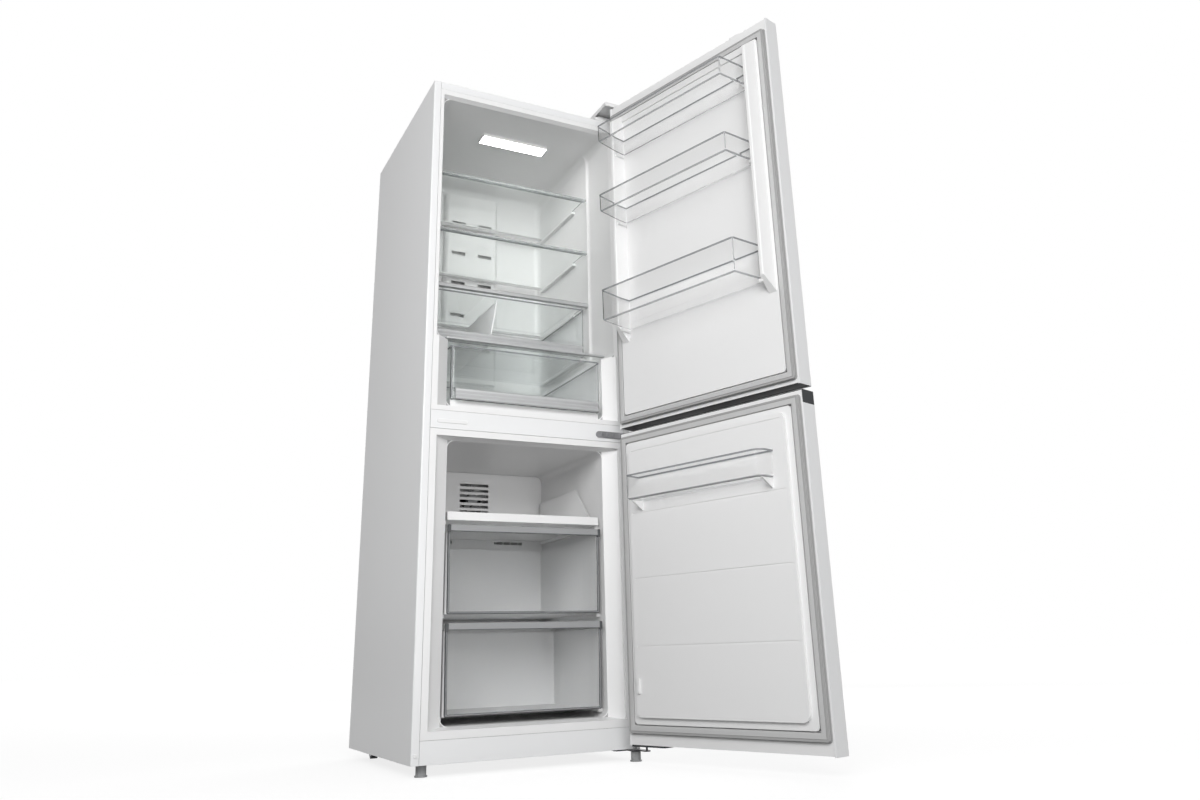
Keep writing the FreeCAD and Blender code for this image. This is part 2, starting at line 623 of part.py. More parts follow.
def fridge_space(grow):
    """The room of the upper compartment, grown by the liner's thickness for its outside."""
    start = LINER_SETBACK - OVERCUT + grow
    radius = LINER_CORNER_RADIUS + grow
    front = pocket(FRIDGE_HALF_FRONT + grow, start, FRIDGE_FRONT_ZONE + grow,
                   FRIDGE_STEP - grow, FRIDGE_CEILING + grow, radius)
    rear = pocket(FRIDGE_HALF_REAR + grow, start, FRIDGE_DEPTH + grow,
                  FRIDGE_STEP - grow, FRIDGE_CEILING + grow, radius)
    lower = pocket(FRIDGE_HALF_LOWER + grow, start, FRIDGE_DEPTH + grow,
                   FRIDGE_FLOOR - grow, FRIDGE_STEP + 2 * radius, radius)
    wide = FRIDGE_HALF_MOUTH + grow
    narrow = FRIDGE_HALF_FRONT + grow
    low_narrow = FRIDGE_HALF_LOWER + grow
    upper_mouth = funnel(
        (-wide, wide, FRIDGE_STEP - grow, FRIDGE_CEILING + MOUTH_LIP + grow), start,
        (-narrow, narrow, FRIDGE_STEP - grow, FRIDGE_CEILING + grow), FRIDGE_MOUTH_DEPTH)
    lower_mouth = funnel(
        (-narrow, narrow, FRIDGE_FLOOR - MOUTH_LIP - grow, FRIDGE_STEP + grow), start,
        (-low_narrow, low_narrow, FRIDGE_FLOOR - grow, FRIDGE_STEP + grow), FRIDGE_LOWER_MOUTH_DEPTH)
    return union(front, rear, lower, upper_mouth, lower_mouth)


def freezer_space(grow):
    start = LINER_SETBACK - OVERCUT + grow
    radius = LINER_CORNER_RADIUS + grow
    half = FREEZER_HALF_WIDTH + grow
    upper = pocket(half, start, FREEZER_DEPTH + grow,
                   FREEZER_REAR_FLOOR - grow, FREEZER_CEILING + grow, radius)
    lower = pocket(half, start, FREEZER_LOWER_DEPTH + grow,
                   FREEZER_FLOOR - grow, FREEZER_REAR_FLOOR + 2 * radius, radius)
    wide = FREEZER_HALF_MOUTH + grow
    border = (-wide, wide, FREEZER_FLOOR - MOUTH_LIP - grow, FREEZER_CEILING + MOUTH_LIP + grow)
    straight = box(*border[:2], start, FREEZER_MOUTH_STRAIGHT + grow, *border[2:])
    slope = funnel(border, FREEZER_MOUTH_STRAIGHT + grow,
                   (-half, half, FREEZER_FLOOR - grow, FREEZER_CEILING + grow), FREEZER_MOUTH_DEPTH)
    return union(upper, lower, straight, slope)


def pedestal(shrink):
    half = PEDESTAL_HALF_WIDTH - shrink
    return box(-half, half, PEDESTAL_FRONT + shrink, PEDESTAL_BACK - shrink,
               FRIDGE_FLOOR - 2 * LINER_SHEET, PEDESTAL_TOP - shrink)


def fridge_ribs():
    ribs = []
    for shelf in (UPPER_SHELF_Z, MIDDLE_SHELF_Z, CRISPER_COVER_Z):
        ribs += side_ribs(FRIDGE_HALF_REAR, shelf - FIT, SHELF_RIB_FRONT, SHELF_BACK, RIB_REACH)
    ribs += side_ribs(FRIDGE_HALF_REAR, CRISPER_BOTTOM - FIT, CRISPER_FRONT + TRIM_DEPTH,
                      CRISPER_BACK, CRISPER_RIB_REACH)
    return ribs


def fridge_liner():
    room = fridge_space(0).cut(pedestal(0))
    shell = union(fridge_space(LINER_SHEET), flange(DIVIDER_TOP, CABINET_TOP - FASCIA_HEIGHT))
    shell = shell.cut([room, pedestal(LINER_SHEET)])
    return union(shell, *fridge_ribs())


def freezer_ribs():
    ribs = side_ribs(FREEZER_HALF_WIDTH, TRAY_BOTTOM - FIT, BASKET_RIB_FRONT, BASKET_BACK, RIB_REACH)
    ribs += side_ribs(FREEZER_HALF_WIDTH, UPPER_BASKET_BOTTOM - FIT, BASKET_RIB_FRONT, BASKET_BACK, RIB_REACH)
    ribs += side_ribs(FREEZER_HALF_WIDTH, LOWER_BASKET_BOTTOM - FIT, BASKET_RIB_FRONT,
                      LOWER_BASKET_BACK, RIB_REACH)
    middle_of_sheet = freezer_space(LINER_SHEET / 2)
    return [rib.common(middle_of_sheet) for rib in ribs]


def freezer_liner():
    shell = union(freezer_space(LINER_SHEET), flange(PLINTH_TOP, DIVIDER_BOTTOM))
    shell = shell.cut(freezer_space(0))
    return union(shell, *freezer_ribs())


def cabinet_foam():
    block = box(-INNER_HALF, INNER_HALF, LINER_BACK, REAR_PANEL_FRONT, DECK_TOP, TOP_UNDERSIDE)
    block = round_along(block, PANEL_CORNER_RADIUS, Z_AXIS)
    niche = box(-HALF_WIDTH, HALF_WIDTH, NICHE_FRONT - DECK_SHEET, CABINET_DEPTH, 0, NICHE_TOP + DECK_SHEET)
    rail = box(-FRONT_HALF, FRONT_HALF, 0, DIVIDER_RETURN, DIVIDER_BOTTOM, DIVIDER_TOP)
    plinth_shelf = box(-FRONT_HALF, FRONT_HALF, 0, LINER_BACK + PANEL_THICKNESS, 0, DECK_TOP)
    stem = cylinder(LEFT_FOOT_X, LEFT_FOOT_Y, 0, STEM_RADIUS + FIT, CABINET_BOTTOM + 2 * STEM_LENGTH, Z_AXIS)
    return block.cut([niche, rail, plinth_shelf, stem, fridge_space(LINER_SHEET), freezer_space(LINER_SHEET)])


# ---------------------------------------------------------------- machine space
def compressor_square(reach, z0, z1, radius):
    """A rounded square block centred on the compressor."""
    return rounded_box(COMPRESSOR_X - reach, COMPRESSOR_X + reach, COMPRESSOR_Y - reach,
                       COMPRESSOR_Y + reach, z0, z1, radius, Z_AXIS)


def compressor():
    bottom = DECK_TOP + COMPRESSOR_LIFT
    body = cylinder(COMPRESSOR_X, COMPRESSOR_Y, bottom, COMPRESSOR_RADIUS, COMPRESSOR_HEIGHT, Z_AXIS)
    rims = [e for e in body.Edges if not straight_along(e, Z_AXIS)]
    body = body.makeFillet(COMPRESSOR_ROUNDING, rims)
    reach = COMPRESSOR_RADIUS - COMPRESSOR_PLATE_INSET
    plate = compressor_square(reach, DECK_TOP + COMPRESSOR_LIFT / 2, bottom + COMPRESSOR_PLATE,
                              COMPRESSOR_LIFT)
    foot_reach = reach - RUBBER_FOOT_INSET
    feet = []
    for x in (COMPRESSOR_X - foot_reach, COMPRESSOR_X + foot_reach):
        for y in (COMPRESSOR_Y - foot_reach, COMPRESSOR_Y + foot_reach):
            feet.append(cylinder(x, y, DECK_TOP, RUBBER_FOOT_RADIUS, COMPRESSOR_LIFT, Z_AXIS))
    middle = bottom + COMPRESSOR_HEIGHT / 2
    terminal = box(COMPRESSOR_X - COMPRESSOR_RADIUS - COMPRESSOR_LIFT, COMPRESSOR_X,
                   COMPRESSOR_Y - COMPRESSOR_ROUNDING, COMPRESSOR_Y + COMPRESSOR_ROUNDING,
                   middle - COMPRESSOR_ROUNDING, middle + COMPRESSOR_ROUNDING)
    return union(body, plate, terminal, *feet)


def condenser():
    """Wire-on-tube panel: level runs joined by half turns, crossed by upright wires."""
    y = (NICHE_FRONT + REAR_PANEL_FRONT) / 2
    radius = CONDENSER_PITCH / 2
    left = CONDENSER_LEFT + radius + CONDENSER_TUBE_RADIUS
    right = CONDENSER_RIGHT - radius - CONDENSER_TUBE_RADIUS
    base = DECK_TOP + CONDENSER_TUBE_RADIUS
    pieces = []
    for row in range(CONDENSER_RUNS):
        z = base + row * CONDENSER_PITCH
        pieces.append(cylinder(left, y, z, CONDENSER_TUBE_RADIUS, right - left, X_AXIS))
    for row in range(CONDENSER_RUNS - 1):
        x = right if row % 2 == 0 else left
        z = base + (row + 0.5) * CONDENSER_PITCH
        start = -90 if row % 2 == 0 else 90
        centre = vector(x, y, z)
        ring = Part.makeTorus(radius, CONDENSER_TUBE_RADIUS, centre, -Y_AXIS, -180, 180, 180)
        ring = ring.rotated(centre, -Y_AXIS, start)
        pieces.append(ring)
    height = (CONDENSER_RUNS - 1) * CONDENSER_PITCH + CONDENSER_TUBE_RADIUS
    step = (right - left) / (CONDENSER_WIRES + 1)
    for wire in range(CONDENSER_WIRES):
        x = left + (wire + 1) * step
        pieces.append(cylinder(x, y, DECK_TOP, CONDENSER_TUBE_RADIUS / 2, height, Z_AXIS))
    return union(*pieces)


def drip_tray():
    bottom = DECK_TOP + COMPRESSOR_LIFT + COMPRESSOR_HEIGHT
    reach = COMPRESSOR_RADIUS + COMPRESSOR_LIFT
    outer = compressor_square(reach, bottom, bottom + DRIP_TRAY_HEIGHT, COMPRESSOR_LIFT)
    inner = compressor_square(reach - DRAWER_WALL, bottom + DRAWER_WALL, bottom + 2 * DRIP_TRAY_HEIGHT,
                              COMPRESSOR_LIFT - DRAWER_WALL)
    return outer.cut(inner)


def power_gland():
    z = NICHE_TOP + GLAND_LIFT
    x = HALF_WIDTH - GLAND_INSET
    plate = rounded_box(x - GLAND_PLATE_HALF_WIDTH, x + GLAND_PLATE_HALF_WIDTH, BACK_INNER,
                        BACK_INNER + STEEL_SHEET, z - GLAND_PLATE_HALF_HEIGHT, z + GLAND_PLATE_HALF_HEIGHT,
                        GLAND_PLATE_RADIUS, Y_AXIS)
    barrel = cylinder(x, BACK_INNER, z, GLAND_RADIUS, GLAND_LENGTH, Y_AXIS)
    bore = cylinder(x, BACK_INNER, z, GLAND_BORE_RADIUS, GLAND_LENGTH + OVERCUT, Y_AXIS)
    return union(plate, barrel).cut(bore)


# ---------------------------------------------------------------- cold air
def evaporator_cover():
    side = FREEZER_HALF_WIDTH - FIT
    plate = rounded_box(-side, side, COVER_Y, COVER_Y + COVER_SHEET, FREEZER_REAR_FLOOR + FIT,
                        FREEZER_CEILING - FIT, LINER_CORNER_RADIUS, Y_AXIS)
    cuts = []
    for row in range(COVER_SLOTS):
        z = FAN_Z + (row - (COVER_SLOTS - 1) / 2) * 2 * COVER_SLOT_HEIGHT
        cuts.append(box(-FAN_RADIUS, FAN_RADIUS, COVER_Y - OVERCUT, COVER_Y + 2 * COVER_SHEET,
                        z - COVER_SLOT_HEIGHT / 2, z + COVER_SLOT_HEIGHT / 2))
    for side in (-1, 1):
        x = side * FREEZER_HALF_WIDTH / 2
        cuts.append(box(x - FAN_RADIUS, x + FAN_RADIUS, COVER_Y - OVERCUT, COVER_Y + 2 * COVER_SHEET,
                        UPPER_BASKET_TOP + FIT, UPPER_BASKET_TOP + COVER_SLOT_HEIGHT))
    return plate.cut(cuts)


def evaporator():
    pieces = []
    first = -(EVAPORATOR_FINS - 1) / 2 * EVAPORATOR_PITCH
    last = -first
    for fin in range(EVAPORATOR_FINS):
        x = first + fin * EVAPORATOR_PITCH
        pieces.append(box(x, x + STEEL_SHEET, EVAPORATOR_FRONT, EVAPORATOR_BACK,
                          EVAPORATOR_BOTTOM, EVAPORATOR_TOP))
    y = (EVAPORATOR_FRONT + EVAPORATOR_BACK) / 2
    pitch = (EVAPORATOR_TOP - EVAPORATOR_BOTTOM) / EVAPORATOR_TUBES
    for row in range(EVAPORATOR_TUBES):
        z = EVAPORATOR_BOTTOM + (row + 0.5) * pitch
        pieces.append(cylinder(first - EVAPORATOR_TUBE_RADIUS, y, z, EVAPORATOR_TUBE_RADIUS,
                               last - first + 2 * EVAPORATOR_TUBE_RADIUS, X_AXIS))
    mount = box(first, last, EVAPORATOR_BACK - STEEL_SHEET, FREEZER_DEPTH - FIT,
                EVAPORATOR_TOP - 2 * EVAPORATOR_TUBE_RADIUS, EVAPORATOR_TOP)
    return union(*pieces, mount)


def fan_motor():
    front = FAN_FRONT + FAN_HUB_LENGTH + FAN_HUB_CAP
    body = cylinder(0, front, FAN_Z, MOTOR_RADIUS, FREEZER_DEPTH - front, Y_AXIS)
    tip = FAN_FRONT + FAN_HUB_CAP
    shaft = cylinder(0, tip, FAN_Z, FAN_SHAFT_RADIUS, FREEZER_DEPTH - tip, Y_AXIS)
    arms = []
    for side in (-1, 1):
        arms.append(box(min(0, side * FAN_RADIUS), max(0, side * FAN_RADIUS), FREEZER_DEPTH - MOTOR_ARM,
                        FREEZER_DEPTH, FAN_Z - FAN_HUB_RADIUS / 2, FAN_Z + FAN_HUB_RADIUS / 2))
    return union(body, shaft, *arms)


def fan_rotor():
    hub = cylinder(0, FAN_FRONT, FAN_Z, FAN_HUB_RADIUS, FAN_HUB_LENGTH, Y_AXIS)
    middle = FAN_FRONT + FAN_HUB_LENGTH / 2
    blades = []
    for blade in range(FAN_BLADES):
        plate = box(-FAN_HUB_RADIUS / 2, FAN_HUB_RADIUS / 2, middle - BLADE_THICKNESS / 2,
                    middle + BLADE_THICKNESS / 2, FAN_Z + FAN_HUB_RADIUS / 2, FAN_Z + FAN_RADIUS)
        plate = plate.rotated(vector(0, middle, FAN_Z), Z_AXIS, BLADE_TWIST)
        blades.append(plate.rotated(vector(0, 0, FAN_Z), Y_AXIS, blade * 360 / FAN_BLADES))
    bore = cylinder(0, FAN_FRONT + FAN_HUB_CAP - FIT, FAN_Z, FAN_SHAFT_RADIUS + FIT, FAN_HUB_LENGTH, Y_AXIS)
    return union(hub, *blades).cut(bore)


def air_duct():
    outer = box(-DUCT_HALF_WIDTH, DUCT_HALF_WIDTH, DUCT_FRONT, FRIDGE_DEPTH, DUCT_BOTTOM, DUCT_TOP)
    front_edges = [
        e for e in outer.Edges
        if straight_along(e, Z_AXIS) and e.Vertexes[0].Y < DUCT_FRONT + OVERCUT
    ]
    outer = outer.makeFillet(DUCT_DEPTH / 2, front_edges)
    wall = DRAWER_WALL
    inner = box(-DUCT_HALF_WIDTH + wall, DUCT_HALF_WIDTH - wall, DUCT_FRONT + wall, FRIDGE_DEPTH + OVERCUT,
                DUCT_BOTTOM + wall, DUCT_TOP - wall)
    front_edges = [
        e for e in inner.Edges
        if straight_along(e, Z_AXIS) and e.Vertexes[0].Y < DUCT_FRONT + wall + OVERCUT
    ]
    inner = inner.makeFillet(DUCT_DEPTH / 2 - wall, front_edges)
    cuts = [inner]
    pitch = (DUCT_TOP - DUCT_BOTTOM) / (DUCT_OUTLETS + 1)
    for row in range(DUCT_OUTLETS):
        z = DUCT_BOTTOM + (row + 1) * pitch
        for side in (-1, 1):
            x = side * DUCT_HALF_WIDTH / 2
            cuts.append(box(x - DUCT_HALF_WIDTH / 4, x + DUCT_HALF_WIDTH / 4, DUCT_FRONT - OVERCUT,
                            DUCT_FRONT + 2 * wall, z, z + DUCT_OUTLET_HEIGHT))
    return outer.cut(cuts)


# ---------------------------------------------------------------- fridge fittings
def glass_shelf(bottom, trim_height):
    """Glass plate in a front rail and a rear rail that stands up behind it."""
    half = FRIDGE_HALF_REAR - SHELF_SIDE_GAP
    rail_low = bottom - (trim_height - GLASS) / 2
    glass = box(-half + TRIM_GRIP, half - TRIM_GRIP, SHELF_FRONT + TRIM_DEPTH - TRIM_GRIP,
                SHELF_BACK - TRIM_DEPTH + TRIM_GRIP, bottom, bottom + GLASS)
    front = box(-half, half, SHELF_FRONT, SHELF_FRONT + TRIM_DEPTH, rail_low, rail_low + trim_height)
    nose = [
        e for e in front.Edges
        if straight_along(e, X_AXIS) and e.Vertexes[0].Y < SHELF_FRONT + TRIM_DEPTH / 2
    ]
    front = front.makeFillet(trim_height / 4, nose).cut(glass)
    rear = box(-half + RIB_REACH, half - RIB_REACH, SHELF_BACK - TRIM_DEPTH, SHELF_BACK, bottom - GLASS / 2,
               bottom + REAR_UPSTAND).cut(glass)
    return [glass, front, rear]


def meat_cover_shelf():
    bottom = FRIDGE_STEP + FIT
    half = MEAT_COVER_HALF_WIDTH
    return rounded_box(-half, half, MEAT_COVER_FRONT, MEAT_COVER_BACK, bottom,
                       bottom + MEAT_COVER_THICKNESS, MEAT_COVER_THICKNESS, Z_AXIS)


def open_box(half, y0, y1, z0, z1, wall, radius):
    outer = rounded_box(-half, half, y0, y1, z0, z1, radius, Z_AXIS)
    inner = rounded_box(-half + wall, half - wall, y0 + wall, y1 - wall, z0 + wall, z1 + OVERCUT,
                        radius - wall, Z_AXIS)
    return outer.cut(inner)


def crisper_drawer():
    return open_box(CRISPER_HALF_WIDTH, CRISPER_FRONT, CRISPER_BACK, CRISPER_BOTTOM, CRISPER_TOP,
                    DRAWER_WALL, DRAWER_RADIUS)


def crisper_handle():
    half = CRISPER_HALF_WIDTH - DRAWER_RADIUS
    return handle_band(half, CRISPER_FRONT, CRISPER_BOTTOM)


def handle_band(half, front, bottom):
    """A band along the foot of a drawer front, hollowed from below for the fingers."""
    band = box(-half, half, front - HANDLE_BAND_DEPTH, front, bottom, bottom + HANDLE_BAND_HEIGHT)
    grip = box(-half / 2, half / 2, front - HANDLE_GRIP_DEPTH, front + OVERCUT, bottom - OVERCUT,
               bottom + HANDLE_BAND_HEIGHT / 2)
    band = band.makeFillet(HANDLE_BAND_DEPTH / 3, [
        e for e in band.Edges
        if straight_along(e, X_AXIS) and e.Vertexes[0].Y < front - HANDLE_BAND_DEPTH / 2
    ])
    return band.cut(grip)


def crisper_divider():
    y0 = CRISPER_FRONT + DRAWER_WALL + FIT
    foot = CRISPER_BOTTOM + DRAWER_WALL + FIT
    head = CRISPER_TOP - DIVIDER_HEAD_GAP
    points = [
        vector(DIVIDER_FOOT_X, y0, foot),
        vector(DIVIDER_FOOT_X + DIVIDER_PLATE, y0, foot),
        vector(DIVIDER_HEAD_X + DIVIDER_PLATE, y0, head),
        vector(DIVIDER_HEAD_X, y0, head),
    ]
    return prism(points, vector(0, CRISPER_BACK - DRAWER_WALL - FIT - y0, 0))


def meat_drawer():
    return open_box(MEAT_HALF_WIDTH, MEAT_FRONT, MEAT_BACK, PEDESTAL_TOP + FIT, MEAT_TOP,
                    DRAWER_WALL, DRAWER_RADIUS)


def meat_drawer_handle():
    half = MEAT_HALF_WIDTH - DRAWER_RADIUS
    return handle_band(half, MEAT_FRONT, PEDESTAL_TOP + FIT)


def light_diffuser():
    low = FRIDGE_CEILING - LIGHT_HEIGHT
    outer = box(LIGHT_LEFT, LIGHT_RIGHT, LIGHT_FRONT, LIGHT_BACK, low, FRIDGE_CEILING)
    outer = round_along(outer, LIGHT_HEIGHT / 2, Z_AXIS)
    inner = box(LIGHT_LEFT + LIGHT_WALL, LIGHT_RIGHT - LIGHT_WALL, LIGHT_FRONT + LIGHT_WALL,
                LIGHT_BACK - LIGHT_WALL, low + LIGHT_WALL, FRIDGE_CEILING + OVERCUT)
    return outer.cut(inner)


# ---------------------------------------------------------------- freezer fittings
def basket_body(bottom, top, back):
    front = BASKET_FRONT + BASKET_FRONT_PANEL
    outer = rounded_box(-BASKET_HALF_WIDTH, BASKET_HALF_WIDTH, front, back, bottom, top - BASKET_LIP_HEIGHT,
                        BASKET_RIM, Z_AXIS)
    reach = BASKET_HALF_WIDTH - DRAWER_WALL
    inner = rounded_box(-reach, reach, front + DRAWER_WALL, back - DRAWER_WALL, bottom + DRAWER_WALL, top,
                        BASKET_RIM - DRAWER_WALL, Z_AXIS)
    window = box(-reach + BASKET_RIM, reach - BASKET_RIM, front - OVERCUT, front + 2 * DRAWER_WALL,
                 bottom + BASKET_RIM, top + OVERCUT)
    return outer.cut([inner, window])


def basket_front(bottom, top):
    """Clear panel with a raised rim and a finger lip along its top."""
    y0 = BASKET_FRONT
    y1 = BASKET_FRONT + BASKET_FRONT_PANEL
    half = BASKET_HALF_WIDTH
    plate = box(-half, half, y0, y1, bottom, top)
    rim = box(-half, half, y0 - BASKET_FRONT_PANEL, y1, bottom, top)
    hollow = box(-half + BASKET_RIM, half - BASKET_RIM, y0 - 2 * BASKET_FRONT_PANEL, y0,
                 bottom + BASKET_RIM, top - BASKET_RIM)
    lip = box(-half, half, y0 - BASKET_LIP_DEPTH, y1, top - BASKET_LIP_HEIGHT, top)
    groove = box(-half + BASKET_RIM, half - BASKET_RIM, y0 - BASKET_GRIP_DEPTH, y0,
                 top - BASKET_LIP_HEIGHT - OVERCUT, top - BASKET_RIM)
    return union(plate, rim.cut(hollow), lip).cut(groove)


def freezer_tray():
    half = BASKET_HALF_WIDTH - FIT
    z0 = TRAY_BOTTOM
    z1 = z0 + TRAY_FRONT_HEIGHT
    outline = [
        vector(-half, TRAY_FRONT, z0),
        vector(-half, BASKET_BACK, z0),
        vector(-half, BASKET_BACK, TRAY_SIDE_TOP),
        vector(-half, TRAY_SLOPE_END, TRAY_SIDE_TOP),
        vector(-half, TRAY_SLOPE_START, z1),
        vector(-half, TRAY_FRONT + TRAY_WALL, z1),
    ]
    outer = prism(outline, vector(2 * half, 0, 0))
    inner = box(-half + TRAY_WALL, half - TRAY_WALL, TRAY_FRONT + 2 * TRAY_WALL, BASKET_BACK - TRAY_WALL,
                z0 + TRAY_WALL, TRAY_SIDE_TOP + OVERCUT)
    rear_cut = box(-half + TRAY_WALL, half - TRAY_WALL, BASKET_BACK - 2 * TRAY_WALL, BASKET_BACK + OVERCUT,
                   z1 + TRAY_FRONT_HEIGHT, TRAY_SIDE_TOP + OVERCUT)
    return outer.cut([inner, rear_cut])


# ---------------------------------------------------------------- doors
def door_skin(z0, z1):
    outer = door_box(0, CABINET_WIDTH, DOOR_INNER, DOOR_OUTER, z0, z1)
    outer = outer.makeFillet(DOOR_CORNER_RADIUS, [
        e for e in outer.Edges
        if straight_along(e, Z_AXIS) and e.Vertexes[0].Y < -SKIN_INSIDE
    ])
    low = z0 - OVERCUT
    high = z1 + OVERCUT
    inner = door_box(STEEL_SHEET, CABINET_WIDTH - STEEL_SHEET, LINER_FACE, SKIN_INSIDE, low, high)
    inner = inner.makeFillet(DOOR_CORNER_RADIUS - STEEL_SHEET, [
        e for e in inner.Edges
        if straight_along(e, Z_AXIS) and e.Vertexes[0].Y < -SKIN_INSIDE + OVERCUT
    ])
    mouth = door_box(DOOR_SKIN_LIP, CABINET_WIDTH - DOOR_SKIN_LIP, 0, DOOR_OUTER / 2, low, high)
    return outer.cut([inner, mouth])


def door_filling(z0, z1, n0):
    """The space inside the skin between two heights, from depth n0 out to the skin."""
    block = door_box(STEEL_SHEET, CABINET_WIDTH - STEEL_SHEET, n0, SKIN_INSIDE, z0, z1)
    return block.makeFillet(DOOR_CORNER_RADIUS - STEEL_SHEET, [
        e for e in block.Edges
        if straight_along(e, Z_AXIS) and e.Vertexes[0].Y < -SKIN_INSIDE + OVERCUT
    ])


def frame(outer_inset, inner_inset, n0, n1, z0, z1, radius):
    """A ring round the door; the insets count from the gasket's outer edge."""
    s0 = GASKET_OUTER
    s1 = CABINET_WIDTH - GASKET_OUTER
    outer = door_box(s0 + outer_inset, s1 - outer_inset, n0, n1, z0 + outer_inset, z1 - outer_inset)
    inner = door_box(s0 + inner_inset, s1 - inner_inset, n0 - OVERCUT, n1 + OVERCUT,
                     z0 + inner_inset, z1 - inner_inset)
    return round_along(outer, radius, Y_AXIS).cut(round_along(inner, radius / 2, Y_AXIS))


def gasket(z0, z1):
    face = frame(GASKET_FACE_INSET, GASKET_WIDTH - GASKET_FACE_INSET, GASKET_CLEARANCE, GASKET_FACE,
                 z0, z1, GASKET_RADIUS)
    waist = frame(GASKET_WAIST, GASKET_WIDTH - GASKET_WAIST, GASKET_FACE, LINER_FACE - GASKET_BASE,
                  z0, z1, GASKET_RADIUS - GASKET_WAIST / 2)
    base = frame(0, GASKET_WIDTH, LINER_FACE - GASKET_BASE, LINER_FACE, z0, z1, GASKET_RADIUS)
    return union(face, waist, base)


def platform(shrink, z0, z1):
    """The raised middle of a door liner inside the gasket, hollow behind by the sheet."""
    inset = GASKET_INNER + PLATFORM_GAP + shrink
    low = z0 + GASKET_WIDTH + PLATFORM_GAP + shrink
    high = z1 - GASKET_WIDTH - PLATFORM_GAP - shrink
    block = door_box(inset, CABINET_WIDTH - inset, PLATFORM_FACE + shrink, LINER_REAR, low, high)
    return round_along(block, PLATFORM_RADIUS - shrink, Y_AXIS)


def door_slab(z0, z1):
    side = STEEL_SHEET + FIT
    return door_box(side, CABINET_WIDTH - side, LINER_FACE, LINER_REAR, z0, z1)


def dyke(shrink):
    """One of the two upright ridges that carry the door bins."""
    y_base = -(LINER_REAR - LINER_SHEET)
    y_top = DYKE_HEIGHT - shrink
    top = UPPER_GASKET_TOP - GASKET_WIDTH - PLATFORM_GAP
    base_s = (DYKE_OUTER + shrink, RECESS_SIDE - shrink)
    top_s = (DYKE_TOP_OUTER + shrink, DYKE_TOP_INNER - shrink)
    base = (HALF_WIDTH - base_s[1], HALF_WIDTH - base_s[0], DYKE_BOTTOM + shrink, top - shrink)
    head = (HALF_WIDTH - top_s[1], HALF_WIDTH - top_s[0], DYKE_BOTTOM + DYKE_LOWER_SLOPE + shrink,
            top - DYKE_UPPER_SLOPE - shrink)
    foot = funnel(base, y_base, base, -PLATFORM_FACE)
    ridge = funnel(base, -PLATFORM_FACE, head, y_top)
    ridge = ridge.makeFillet(DYKE_ROUNDING - shrink / 2, [
        e for e in ridge.Edges
        if min(v.Y for v in e.Vertexes) > y_top - STEEL_SHEET / 2
    ])
    return union(foot, ridge)


def upper_form(shrink):
    block = platform(shrink, UPPER_GASKET_BOTTOM, UPPER_GASKET_TOP)
    recess = door_box(RECESS_SIDE - shrink, CABINET_WIDTH - RECESS_SIDE + shrink, 0, RECESS_FLOOR + shrink,
                      RECESS_BOTTOM - shrink, RECESS_TOP + shrink)
    return union(block.cut(recess), *both_sides(dyke(shrink)))


def lugs(bottom):
    """Small steps on the inner faces of the ridges, under a bin."""
    step = door_box(DYKE_TOP_INNER - LINER_SHEET / 2, RECESS_SIDE + LUG_REACH, -DYKE_HEIGHT + LUG_HEIGHT, 0,
                    bottom - FIT - LUG_HEIGHT, bottom - FIT)
    return both_sides(step)


def upper_door_liner():
    slab = door_slab(UPPER_DOOR_BOTTOM + BOTTOM_CAP_RECESS, UPPER_DOOR_TOP - BOTTOM_CAP_RECESS)
    liner = union(slab, upper_form(0)).cut(upper_form(LINER_SHEET))
    steps = []
    for bottom in (TOP_BIN_Z, MIDDLE_BIN_Z, BOTTOM_BIN_Z):
        steps += lugs(bottom)
    return union(liner, *steps)


def raised_panel(shrink):
    inset = PANEL_SIDE + shrink
    back = PLATFORM_FACE + LINER_SHEET + OVERCUT
    block = door_box(inset, CABINET_WIDTH - inset, -PANEL_FACE + shrink, back,
                     PANEL_BOTTOM_Z + shrink, PANEL_TOP_Z - shrink)
    return round_along(block, PANEL_RADIUS - shrink, Y_AXIS)


def lower_form(shrink):
    return union(platform(shrink, LOWER_GASKET_BOTTOM, LOWER_GASKET_TOP), raised_panel(shrink))


def gusset():
    s0 = FREEZER_BIN_SIDE + GUSSET_INSET
    top = FREEZER_BIN_Z - FIT
    points = [
        door_point(s0, -PANEL_FACE + LINER_SHEET / 2, top),
        door_point(s0, -FREEZER_BIN_FRONT + GUSSET_INSET, top),
        door_point(s0, -PANEL_FACE + LINER_SHEET / 2, top - GUSSET_HEIGHT),
    ]
    return prism(points, vector(-GUSSET_THICKNESS, 0, 0))


def lower_door_liner():
    top = LOWER_DOOR_TOP - BOTTOM_CAP_RECESS
    slab = door_slab(LOWER_DOOR_BOTTOM + BOTTOM_CAP_RECESS, top)
    liner = union(slab, lower_form(0)).cut(lower_form(LINER_SHEET))
    inset = PANEL_SIDE + PANEL_RADIUS / 2
    grooves = []
    for groove in range(1, GROOVES + 1):
        z = PANEL_BOTTOM_Z + groove * GROOVE_PITCH
        grooves.append(door_box(inset, CABINET_WIDTH - inset, -PANEL_FACE - OVERCUT,
                                -PANEL_FACE + GROOVE_DEPTH, z - GROOVE_WIDTH / 2, z + GROOVE_WIDTH / 2))
    liner = liner.cut(grooves)
    nub_s = PANEL_SIDE + NUB_WIDTH
    nub = door_box(nub_s, nub_s + NUB_WIDTH, -PANEL_FACE - NUB_DEPTH, -PANEL_FACE + LINER_SHEET / 2,
                   NUB_BOTTOM, NUB_BOTTOM + NUB_HEIGHT)
    return union(liner, nub, *both_sides(gusset()))


def upper_door_foam():
    z0 = UPPER_DOOR_BOTTOM + BOTTOM_CAP_RECESS + BOTTOM_CAP_HEIGHT
    core = door_filling(z0, UPPER_DOOR_TOP - TOP_CAP_HEIGHT, LINER_REAR)
    return union(core, upper_form(LINER_SHEET)).cut(upper_door_liner())


